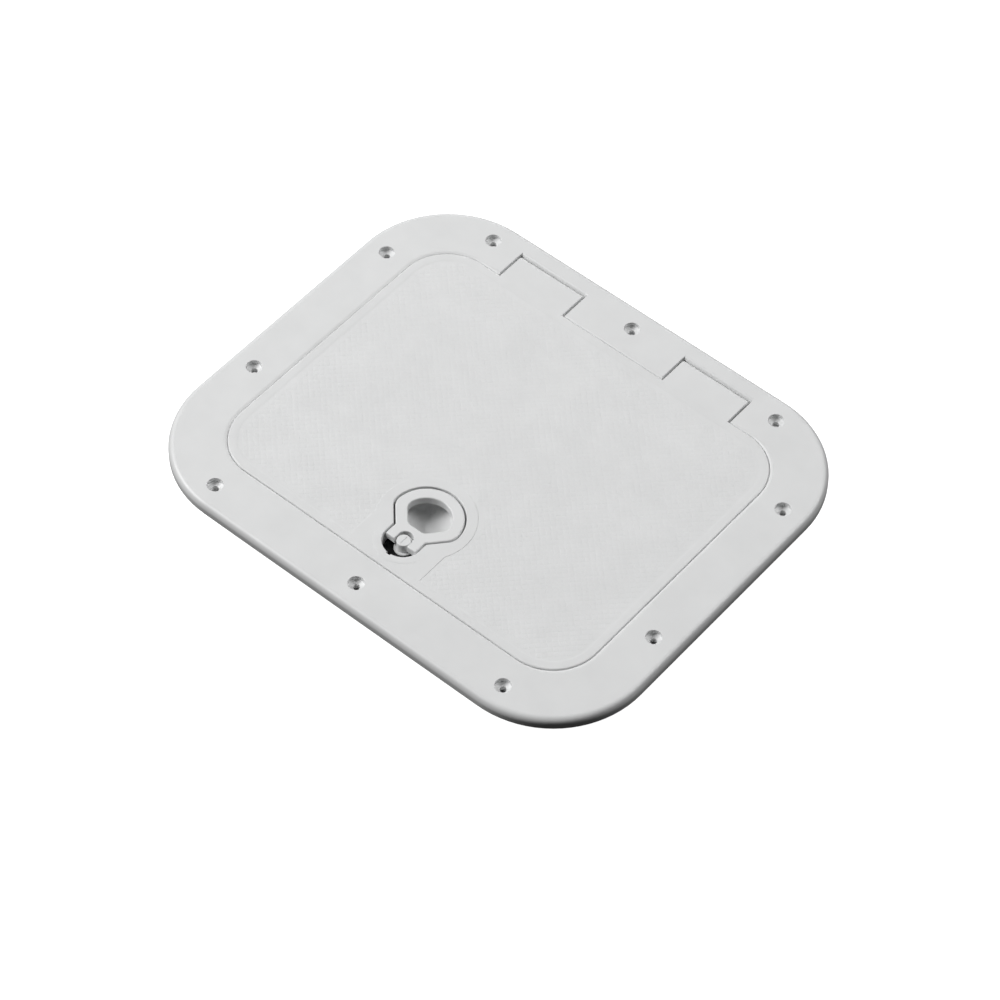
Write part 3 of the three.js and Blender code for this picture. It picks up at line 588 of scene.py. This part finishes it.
def countersink(x, y):
    """Cutting shape for one deck screw hole: bore, shallow cone, straight seat, soft edge."""
    bore, wall = SCREW_BORE_RADIUS, SCREW_SEAT_RADIUS
    bore_z = TOP_Z - SCREW_CONE_DEPTH
    cone_z = TOP_Z - SCREW_SEAT_DEPTH
    soft = 0.2
    profile = [(bore, DECK_Z - PAST), (bore, bore_z - soft), (bore + soft, bore_z)]
    profile += [(wall - soft, cone_z - soft), (wall, cone_z)]
    edge = quarter(0.4, 5, FLARE_TURN)
    profile += [(wall + out, TOP_Z + up - edge[-1][1]) for out, up in edge]
    profile += [(profile[-1][0], TOP_Z + PAST)]
    return turned("countersink", x, y, profile, 96)


def hinge_notch(x):
    """Cutting shapes for one hinge: the tab's notch, the pin's seat and the screw holes."""
    across = (x - NOTCH_WIDTH / 2, x + NOTCH_WIDTH / 2)
    wall_y = OPENING[1] / 2 + WELL_WALL
    seat = (x - HINGE_PIN_LENGTH / 2 - 0.3, x + HINGE_PIN_LENGTH / 2 + 0.3)
    seat_y = (HINGE_AXIS[0] - PIN_SEAT_HALF, HINGE_AXIS[0] + PIN_SEAT_HALF)
    groove_top = HINGE_AXIS[1] + HINGE_PIN_RADIUS + 0.1
    low = DECK_Z - PAST
    outline = rectangle(across, (100, NOTCH_REAR_Y), 1.0)
    notch = pit("notch", outline, NOTCH_FLOOR_Z, TOP_Z, 0.1, 0.5)
    ease = rear_ease(across)
    through = block("through", rectangle(across, (wall_y, NOTCH_REAR_Y), 1.0), (low, 31), 0.1)
    plate = block(
        "plate", rectangle(seat, (wall_y + 1, NOTCH_REAR_Y)), (low, KEEPER_PAD_Z + 0.3), 0.1
    )
    groove = block("groove", rectangle(seat, seat_y, 0.7), (low, groove_top), 0.1, 0.6)
    holes = [
        block("hole", circle(x + side * KEEPER_SCREW_X, KEEPER_SCREW_Y, 1.6, 24), (low, 32.4), 0.1)
        for side in (-1, 1)
    ]
    return [notch, ease, through, plate, groove, *holes]


def rear_ease(across):
    """Cutting shape that rounds the rear edge of a hinge notch."""
    radius = NOTCH_EASE
    rings = []
    for x in across:
        curve_points = [(x, NOTCH_REAR_Y + out, TOP_Z - radius + up)
                        for out, up in quarter(radius, 6, 80)]
        rest = [(x, NOTCH_REAR_Y + radius, TOP_Z + PAST), (x, NOTCH_REAR_Y - 2, TOP_Z + PAST)]
        rings.append(curve_points + rest + [(x, NOTCH_REAR_Y - 2, TOP_Z - radius)])
    return loft("ease", rings)


def make_frame():
    body = loft("frame_moulding", frame_section(), loop=True)
    add(body, flange_stiffeners())
    rib_y = -OPENING[1] / 2
    rib = rectangle((-KEEPER_RIB_HALF, KEEPER_RIB_HALF), (rib_y - 1, rib_y + LEDGE_WIDTH), 1.0)
    add(body, block("keeper_rib", rib, (KEEPER_RIB_Z, LEDGE_Z[0] + 1), 0.5))
    cut(body, joined(*[countersink(x, y) for x, y in SCREW_PLACES]))
    for x in (-HINGE_X, HINGE_X):
        cut(body, *hinge_notch(x))
    return body


def make_gasket():
    z = (21.3, 24.2)
    section = [(1.0, z[0] + 0.5), (1.0, z[1] - 0.8), (1.3, z[1] - 0.2), (2.0, z[1])]
    section += [(5.0, z[1]), (5.7, z[1] - 0.2), (6.0, z[1] - 0.8), (6.0, z[0] + 0.5)]
    section += [(5.5, z[0]), (1.5, z[0])]
    rings = [at_height(rounded(*OPENING, inset), height) for inset, height in section]
    return loft("gasket_strip", rings, loop=True)


def make_pin_keeper(name, x):
    """Plate that closes a notch from below, with a thick pad at each end."""
    half = HINGE_PIN_LENGTH / 2
    pad = NOTCH_WIDTH / 2 + 0.3
    y = (OPENING[1] / 2 + WELL_WALL + 1.3, NOTCH_REAR_Y - 0.3)
    keeper = block(name, rectangle((x - half, x + half), y), (DECK_Z, DECK_Z + 1), 0.2)
    for ends in ((x - half, x - pad), (x + pad, x + half)):
        add(keeper, block("pad", rectangle(ends, y), (DECK_Z, KEEPER_PAD_Z), 0.2, 0.4))
    for side in (-1, 1):
        profile = [(2.45, DECK_Z - PAST), (2.45, DECK_Z + 0.05), (1.6, DECK_Z + 1.2), (1.6, 30)]
        cut(keeper, turned("seat", x + side * KEEPER_SCREW_X, KEEPER_SCREW_Y, profile))
    return keeper


def make_keeper_screw(name, x):
    """Countersunk cross-head screw that points up."""
    profile = [(1.9, DECK_Z), (2.1, DECK_Z + 0.1), (1.3, DECK_Z + 1.2)]
    threads = 10
    for i in range(threads):
        z = DECK_Z + 1.6 + i * 0.4
        profile += [(1.05, z), (1.3, z + 0.2)]
    profile += [(1.1, 31.4), (0.3, 32.0)]
    screw = turned(name, x, KEEPER_SCREW_Y, profile, 32)
    for wide, deep in ((1.2, 0.3), (0.3, 1.2)):
        shape = rectangle((x - wide, x + wide), (KEEPER_SCREW_Y - deep, KEEPER_SCREW_Y + deep), 0.1)
        cut(screw, block("cross", shape, (DECK_Z - PAST, DECK_Z + 0.9), 0.02))
    return screw


# ------------------------------------------------------------------ lid

def lid_section():
    """Rings from the hollow underside, round the skirt and border, to the sunk panel."""
    rings = [(SKIRT_WALL, TOP_Z - SKIN), (SKIRT_WALL, SKIRT_Z + 0.4)]
    rings += [(SKIRT_WALL - 0.4, SKIRT_Z), (0.4, SKIRT_Z), (0.0, SKIRT_Z + 0.4)]
    rings += [(i, TOP_Z - LID_EDGE + up) for i, up in quarter(LID_EDGE, 7)]
    panel_z = TOP_Z - PANEL_DROP
    rings += [(PANEL_INSET - 1.0, TOP_Z), (PANEL_INSET, TOP_Z - PANEL_DROP / 2)]
    rings += [(PANEL_INSET + 1.0, panel_z)]
    return [at_height(rounded(*LID, inset), z) for inset, z in rings]


def lid_ribs():
    """The ribs along Y and those along X, as two tools because they cross."""
    z = (25.5, TOP_Z - 1)
    half = RIB / 2
    end_x = LID[0] / 2 - 1
    end_y = LID[1] / 2 - 1
    along_y = [
        block("rib", rectangle((x - half, x + half), (-end_y, end_y)), z) for x in LID_RIB_X
    ]
    along_x = [
        block("rib", rectangle((-end_x, end_x), (y - half, y + half)), z) for y in LID_RIB_Y
    ]
    return joined(*along_y), joined(*along_x)


def hinge_tab(x):
    """Tab with a rolled rear edge; its ends are softly rounded."""
    y, z = HINGE_AXIS
    under_z = TOP_Z - TAB_THICKNESS
    start = math.degrees(math.asin((under_z - z) / KNUCKLE_RADIUS))
    roll = arc(y, z, KNUCKLE_RADIUS, -180 - start, 90, 28)
    start_y = LID[1] / 2 - 3.0
    profile = [(start_y, TOP_Z), (start_y, under_z)] + roll
    half = TAB_WIDTH / 2
    rings = []
    for inwards, out in reversed(quarter(0.5, 4)):
        shape = offset(profile, -inwards)
        rings.append([(x - half + 0.5 - out, py, pz) for py, pz in shape])
    rings += [[(2 * x - px, py, pz) for px, py, pz in ring] for ring in reversed(rings)]
    return loft("tab", rings)


def hinge_bore(x):
    """Cutting shapes for the pin's bore through a tab, and its mouth below."""
    y, z = HINGE_AXIS
    across = (x - NOTCH_WIDTH / 2, x + NOTCH_WIDTH / 2)
    mouth = block("mouth", rectangle(across, (y - 1.3, y + 1.3), 0.2), (DECK_Z, z), 0.1)
    return [mouth, crosswise("bore", across, y, z, HINGE_PIN_RADIUS + 0.2)]


def latch_housing():
    """Walls and floors that hang under the lid round the latch."""
    grow = HALF_GAP + POCKET_WALL
    top = TOP_Z - 1
    boss_x = HANDLE_PIN_X[1] + 2.5
    boss_y = (HANDLE_AXIS[0] - 4.5, HANDLE_AXIS[0] + 4.5)
    size = [s + WELL_SHELL for s in WELL_SIZE]
    return [
        block("recess", recess_outline(grow), (RECESS_Z - WELL_SHELL, top), 1.0),
        block("pocket", pocket_outline(grow), (POCKET_Z - POCKET_WALL, top), 1.0),
        block("pin_boss", rectangle((-boss_x, boss_x), boss_y, 1.0), (25.0, top), 0.6),
        bowl("well", (0, WELL_Y, RECESS_Z), size),
    ]


def latch_cuts():
    above = TOP_Z + PAST
    pin_end = HANDLE_PIN_X[1] + 0.3
    front_y = TAIL_END_Y - TAIL_HALF - HALF_GAP
    notch = rectangle((-1.5, 1.5), (front_y - 1.2, TAIL_END_Y), 0.4)
    return [
        pit("recess", recess_outline(HALF_GAP), RECESS_Z, TOP_Z, 0.8, 0.7),
        block("pocket", pocket_outline(HALF_GAP), (POCKET_Z, above - 2.5), 0.8),
        pit("notch", notch, POCKET_Z, TOP_Z, 0.3, 0.4),
        bowl("well", (0, WELL_Y, RECESS_Z), WELL_SIZE),
        crosswise("pins", (-pin_end, pin_end), *HANDLE_AXIS, HANDLE_PIN_RADIUS + HANDLE_PIN_PLAY),
        block("hole", circle(0, LOCK_Y, BUSH_HOLE_RADIUS), (BUSH_Z[0], POCKET_Z + PAST), 0.1),
    ]


def latch_lip():
    """Low crescent in front of the latch: it swells forwards and drops at its outer edge."""
    columns, rows = 60, 10
    inner = TAIL_HALF - 2
    top = []
    for c in range(columns + 1):
        angle = math.radians(-165 + 150 * c / columns)
        swell = math.sin(math.pi * c / columns) ** 0.8
        for r in range(rows + 1):
            share = r / rows
            radius = inner + (LIP_RADIUS - inner) * min(1.0, 1.04 * share)
            height = LIP_RISE * swell * min(1.0, share * 1.6)
            if r == rows:
                height = 0.0
            top.append((radius * math.cos(angle), TAIL_END_Y + radius * math.sin(angle),
                        TOP_Z - 0.01 + height))
    bottom = [(x, y, TOP_Z - 1) for x, y, _ in top]
    row = rows + 1
    under = len(top)
    faces = []
    for c in range(columns):
        for r in range(rows):
            a, b = c * row + r, (c + 1) * row + r
            faces.append((a, a + 1, b + 1, b))
            faces.append((under + a, under + b, under + b + 1, under + a + 1))
        near, far = c * row, c * row + rows
        faces.append((near, near + row, under + near + row, under + near))
        faces.append((far, under + far, under + far + row, far + row))
    for r in range(rows):
        left, right = r, columns * row + r
        faces.append((left, under + left, under + left + 1, left + 1))
        faces.append((right, right + 1, under + right + 1, under + right))
    return make("lip", top + bottom, faces)


def make_lid():
    lid = loft("lid_moulding", lid_section())
    add(lid, *lid_ribs(), *latch_housing())
    add(lid, block("island", island_outline(), (TOP_Z - 1, TOP_Z), 0.1, 0.3))
    add(lid, hinge_tab(HINGE_X), hinge_tab(-HINGE_X), latch_lip())
    cut(lid, *latch_cuts(), *hinge_bore(HINGE_X), *hinge_bore(-HINGE_X))
    return lid


def inside_panel(x, y, margin):
    """Whether a point of the lid lies on the non-skid panel, at least margin from its edge."""
    length, width, corner = LID
    half_x = length / 2 - PANEL_INSET - margin
    half_y = width / 2 - PANEL_INSET - margin
    if abs(x) > half_x or abs(y) > half_y:
        return False
    over_x = abs(x) - (length / 2 - corner)
    over_y = abs(y) - (width / 2 - corner)
    if over_x > 0 and over_y > 0 and math.hypot(over_x, over_y) > corner - PANEL_INSET - margin:
        return False
    if y > HEAD_Y:
        return math.hypot(x, y - HEAD_Y) > ISLAND_RADIUS + margin
    return abs(x) > ISLAND_HALF + margin


def make_nonskid():
    """Small square pyramids with cut tops, in rows at 45 degrees, over the sunk panel."""
    base_z = TOP_Z - PANEL_DROP
    half_step = NONSKID_PITCH / math.sqrt(2)
    points, faces = [], []
    columns = int(LID[0] / half_step)
    rows = int(LID[1] / half_step)
    for column in range(-columns, columns + 1):
        for row in range(-rows, rows + 1):
            x, y = column * half_step, row * half_step
            if (column + row) % 2 or not inside_panel(x, y, NONSKID_MARGIN):
                continue
            first = len(points)
            for reach, height in NONSKID_STEPS:
                z = base_z + height
                points += [(x + reach, y, z), (x, y + reach, z)]
                points += [(x - reach, y, z), (x, y - reach, z)]
            for level in (0, 4):
                for i in range(4):
                    low = first + level + i
                    next_low = first + level + (i + 1) % 4
                    faces.append((low, next_low, next_low + 4, low + 4))
            faces.append(tuple(first + 8 + i for i in range(4)))
            faces.append(tuple(first + 3 - i for i in range(4)))
    return make("lid_nonskid", points, faces)


# ------------------------------------------------------------------ ring handle and lock

def make_ring_handle():
    z = HANDLE_Z
    ring = block("ring_handle_moulding", handle_outline(), z, 0.7, 1.0)
    arm = TAIL_HALF - HALF_GAP
    add(ring, crosswise("knuckle", (-arm, arm), *HANDLE_AXIS, HANDLE_KNUCKLE, 0.5))
    low = z[0] - PAST
    cut(ring, pit("finger_hole", finger_hole_outline(), low, z[1], 0.1, 1.0))
    slot_y = FORK_END_Y - FORK_HALF
    slot = arc(0, slot_y, FORK_HALF, 0, 180, 24) + [(-FORK_HALF, -110), (FORK_HALF, -110)]
    cut(ring, pit("fork_slot", slot, 20, z[1], 0.1, 0.6))
    cut(ring, crosswise("bore", (-20, 20), *HANDLE_AXIS, HANDLE_PIN_RADIUS + HANDLE_PIN_PLAY))
    return ring


def make_lock_barrel():
    square_z = (12.6, 16.7)
    half = 2.6
    profile = [(3.8, 15.7), (3.8, 19.85), (2.9, 19.9), (2.9, 21.1), (3.8, 21.15), (3.8, 26.0)]
    profile += [(4.55, 26.0), (4.75, 26.2)]
    profile += [(LOCK_HEAD_RADIUS - i, LOCK_HEAD_Z - 0.6 + up) for i, up in quarter(0.6, 5)]
    barrel = turned("lock_barrel_moulding", 0, LOCK_Y, profile, 64)
    foot = rectangle((-half, half), (LOCK_Y - half, LOCK_Y + half), 0.3)
    add(barrel, block("square", foot, square_z, 0.2))
    coin = rectangle((-0.3, 0.3), (LOCK_Y - 3.2, LOCK_Y + 3.2), 0.2)
    cut(barrel, block("coin_slot", coin, (LOCK_HEAD_Z - 0.35, LOCK_HEAD_Z + PAST), 0.1))
    cut(barrel, block("screw_hole", circle(0, LOCK_Y, 1.95, 32), (11.6, 19), 0.1))
    return barrel


def make_lock_bush():
    low, high = BUSH_Z
    section = [(5.4, low + 0.3), (5.4, high - 1.3), (6.3, high - 1.3), (6.6, high - 1.0)]
    section += [(6.6, high - 0.3), (6.3, high), (4.3, high), (4.1, high - 0.2), (4.1, low + 0.2)]
    section += [(4.3, low), (5.1, low)]
    return ring_turned("lock_bush_moulding", 0, LOCK_Y, section)


def bush_hole(z):
    """Cutting shape for the bush's hole through a piece that lies between two heights."""
    return block("bore", circle(0, LOCK_Y, BUSH_HOLE_RADIUS), (z[0] - PAST, z[1] + PAST), 0.1)


def make_seal_and_painted_shade_sheet():
    """Flat rubber seal that covers the pocket's whole floor: partly the bush's seal, partly a black
    sheet that darkens the pocket as painted shade.
    """
    z = (POCKET_Z + 0.3, BUSH_Z[1] - 1.6)
    seal = block("bush_seal_and_painted_shade_sheet", pocket_outline(0.15), z, 0.1, 0.15)
    cut(seal, bush_hole(z))
    return seal


def make_lock_nut():
    z = (BUSH_Z[0], NUT_TOP_Z)
    nut = block("lock_nut_moulding", hexagon(NUT_ACROSS_FLATS, 0.8), z, 0.5, 0.5)
    cut(nut, bush_hole(z))
    return nut


def hexagon(across_flats, corner):
    """Hexagon about the lock's axis with slightly rounded corners."""
    radius = across_flats / math.sqrt(3)
    corners = [Vector(p) for p in arc(0, LOCK_Y, radius, 90, 450, 6)[:-1]]
    points = []
    for i, here in enumerate(corners):
        before, after = corners[i - 1], corners[(i + 1) % 6]
        start = here + (before - here).normalized() * corner
        end = here + (after - here).normalized() * corner
        points += [tuple(start)] + curve(start, here, end, 3)
    return points


def make_o_ring(name, z, radius, cord):
    turns = [2 * math.pi * i / 12 for i in range(12)]
    section = [(radius + cord * math.cos(t), z + cord * math.sin(t)) for t in turns]
    return ring_turned(name, 0, LOCK_Y, section)


def make_washer(name, z, inner, outer):
    soft = 0.1
    section = [(outer - soft, z[0]), (outer, z[0] + soft), (outer, z[1] - soft)]
    section += [(outer - soft, z[1]), (inner + soft, z[1]), (inner, z[1] - soft)]
    section += [(inner, z[0] + soft), (inner + soft, z[0])]
    return ring_turned(name, 0, LOCK_Y, section)


def make_cam():
    hub, tip, reach = 7.0, 5.0, 23.5
    outline = arc(0, LOCK_Y, hub, 90, 270, 24) + arc(reach - tip, LOCK_Y, tip, -90, 90, 20)
    cam = block("cam_plate", outline, CAM_Z, 0.35, 0.35)
    half = 2.9
    square = rectangle((-half, half), (LOCK_Y - half, LOCK_Y + half), 0.2)
    cut(cam, block("square", square, (CAM_Z[0] - PAST, CAM_Z[1] + PAST), 0.05))
    return cam


def make_cam_screw():
    """Hexagon-head screw, its head below the cam."""
    outline = hexagon(CAM_SCREW_ACROSS_FLATS, 0.35)
    screw = block("cam_screw_steel", outline, CAM_SCREW_HEAD_Z, 0.4, 0.2)
    head_top = CAM_SCREW_HEAD_Z[1]
    root, crest = 1.4, 1.7
    profile = [(crest, head_top - PAST), (crest, head_top + 1.5)]
    for i in range(8):
        z = head_top + 1.9 + i * 0.6
        profile += [(root, z), (crest, z + 0.3)]
    profile += [(root, 18.2), (1.0, 18.4)]
    add(screw, turned("shank", 0, LOCK_Y, profile, 32))
    return screw


# ------------------------------------------------------------------ assembly

def build_hatch():
    dress(make_frame(), ABS, "frame", "frame")
    dress(make_gasket(), RUBBER, "frame", "gasket")
    for side, sign in (("left", -1), ("right", 1)):
        x = sign * HINGE_X
        half = HINGE_PIN_LENGTH / 2
        pin = crosswise(f"hinge_pin_{side}_steel", (x - half, x + half), *HINGE_AXIS,
                        HINGE_PIN_RADIUS, 0.4)
        dress(pin, STEEL, "frame", f"hinge_pin_{side}")
        keeper = make_pin_keeper(f"pin_keeper_{side}_moulding", x)
        dress(keeper, ABS, "frame", f"pin_keeper_{side}")
        for place, way in (("outer", sign), ("inner", -sign)):
            name = f"keeper_screw_{side}_{place}"
            screw = make_keeper_screw(f"{name}_steel", x + way * KEEPER_SCREW_X)
            dress(screw, STEEL, "frame", name)
        ends = sorted(sign * end for end in HANDLE_PIN_X)
        pin = crosswise(f"handle_pin_{side}_steel", ends, *HANDLE_AXIS, HANDLE_PIN_RADIUS, 0.3)
        dress(pin, STEEL, "lid", f"handle_pin_{side}")
    dress(make_lid(), ABS, "lid", "lid")
    dress(make_nonskid(), ABS, "lid")
    dress(make_lock_bush(), NYLON, "lid", "lock_bush")
    # Black seal sheet spread over the whole pocket floor: partly the bush's seal, partly painted
    # shade.
    dress(make_seal_and_painted_shade_sheet(), RUBBER, "lid", "bush_seal")
    dress(make_lock_nut(), BLACK, "lid", "lock_nut")
    dress(make_ring_handle(), NYLON, "handle", "ring_handle")
    dress(make_lock_barrel(), NYLON, "lock", "lock_barrel")
    dress(make_o_ring("barrel_o_ring_cord", 20.5, 3.45, 0.45), RUBBER, "lock", "barrel_o_ring")
    dress(make_washer("wave_washer_steel", (15.7, 16.3), 4.1, 7.0), STEEL, "lock", "wave_washer")
    dress(make_cam(), STEEL, "lock", "cam")
    dress(make_washer("cam_washer_steel", (11.5, 12.3), 2.0, 4.5), STEEL, "lock", "cam_washer")
    dress(make_cam_screw(), STEEL, "lock", "cam_screw")


# ------------------------------------------------------------------ studio

CAMERA_AZIMUTH = math.radians(39.13)
CAMERA_ELEVATION = math.radians(52.14)
CAMERA_ROLL = math.radians(1.186)
CAMERA_AIM = Vector((26.25, -29.24, 34.0)) * MM
CAMERA_DISTANCE = 2351.9 * MM
CAMERA_LENS = 131.5


def make_camera():
    """Camera at the photograph's angle; its distance and lens give the same perspective."""
    a, e, roll = CAMERA_AZIMUTH, CAMERA_ELEVATION, CAMERA_ROLL
    back = Vector((math.sin(a) * math.cos(e), -math.cos(a) * math.cos(e), math.sin(e)))
    level_right = Vector((math.cos(a), math.sin(a), 0))
    level_up = back.cross(level_right)
    right = level_right * math.cos(roll) + level_up * math.sin(roll)
    up = level_up * math.cos(roll) - level_right * math.sin(roll)
    data = bpy.data.cameras.new("camera")
    data.lens = CAMERA_LENS
    data.sensor_width = 36
    camera = bpy.data.objects.new("camera", data)
    bpy.context.scene.collection.objects.link(camera)
    turn = Matrix((right, up, back)).transposed().to_4x4()
    camera.matrix_world = Matrix.Translation(CAMERA_AIM + back * CAMERA_DISTANCE) @ turn
    bpy.context.scene.camera = camera


# Painted shadow on the floor hidden behind the hatch from the camera, mm: its middle, half size and
# corner radius
SHADE_MIDDLE = (-15.0, 18.0)
SHADE_HALF = (183.0, 152.0)
SHADE_CORNER = 60.0
SHADE_FADE = 6.0


def make_floor():
    """Plain self-lit white floor with a painted shadow: its glow is dark only where the hatch
    stands over it.
    """
    reach = 9000
    corners = [(-reach, -reach, 0), (reach, -reach, 0), (reach, reach, 0), (-reach, reach, 0)]
    floor = make("floor", corners, [(0, 1, 2, 3)])
    paint, tree, shader, place = material("floor_white", (0.8, 0.8, 0.8), 0.9)
    shader.inputs["Emission Color"].default_value = (1, 1, 1, 1)
    inner = [(half - SHADE_CORNER) * MM for half in SHADE_HALF]
    past = vector_step(tree, "SUBTRACT", place, [c * MM for c in SHADE_MIDDLE])
    past = vector_step(tree, "ABSOLUTE", past)
    past = vector_step(tree, "SUBTRACT", past, inner)
    past = vector_step(tree, "MAXIMUM", past, (0, 0))
    length = tree.nodes.new("ShaderNodeVectorMath")
    length.operation = "LENGTH"
    tree.links.new(past, length.inputs[0])
    fade = tree.nodes.new("ShaderNodeMapRange")
    fade.inputs["From Min"].default_value = (SHADE_CORNER - SHADE_FADE) * MM
    fade.inputs["From Max"].default_value = SHADE_CORNER * MM
    tree.links.new(length.outputs["Value"], fade.inputs["Value"])
    # Painted shadow: the floor's glow fades to dark inside the patch under the hatch.
    tree.links.new(fade.outputs["Result"], shader.inputs["Emission Strength"])
    floor.data.materials.append(paint)
    floor.visible_diffuse = False
    floor.visible_glossy = False


def vector_step(tree, operation, vector, operand=None):
    """One vector sum; its operand is an (x, y) pair."""
    node = tree.nodes.new("ShaderNodeVectorMath")
    node.operation = operation
    tree.links.new(vector, node.inputs[0])
    if operand:
        node.inputs[1].default_value = (*operand, 0)
    return node.outputs["Vector"]


def area_light(name, place, aim, size, power):
    """Rectangular light in metres and watts, turned towards a point."""
    data = bpy.data.lights.new(name, "AREA")
    data.shape = "RECTANGLE"
    data.size, data.size_y = size
    data.energy = power
    light = bpy.data.objects.new(name, data)
    light.location = place
    light.rotation_mode = "QUATERNION"
    light.rotation_quaternion = (Vector(aim) - Vector(place)).to_track_quat("-Z", "Y")
    bpy.context.scene.collection.objects.link(light)


def make_lights():
    """Soft lights from the left, from behind and low behind, and a faint even sky."""
    aim = (0, 0, 0.03)
    area_light("left", (-2.6, -1.3, 2.7), aim, (1.6, 1.6), 141)
    area_light("back", (1.2, 2.2, 2.7), aim, (1.6, 1.6), 61)
    area_light("low", (-1.9, 2.6, 1.1), aim, (1.6, 0.8), 14)
    world = bpy.data.worlds.new("studio")
    world.use_nodes = True
    shade = world.node_tree.nodes["Background"]
    shade.inputs["Color"].default_value = (1.0, 1.0, 1.0, 1)
    shade.inputs["Strength"].default_value = 0.03
    bpy.context.scene.world = world
    bpy.context.scene.view_settings.view_transform = "Standard"


make_camera()
make_lights()
make_floor()
build_hatch()
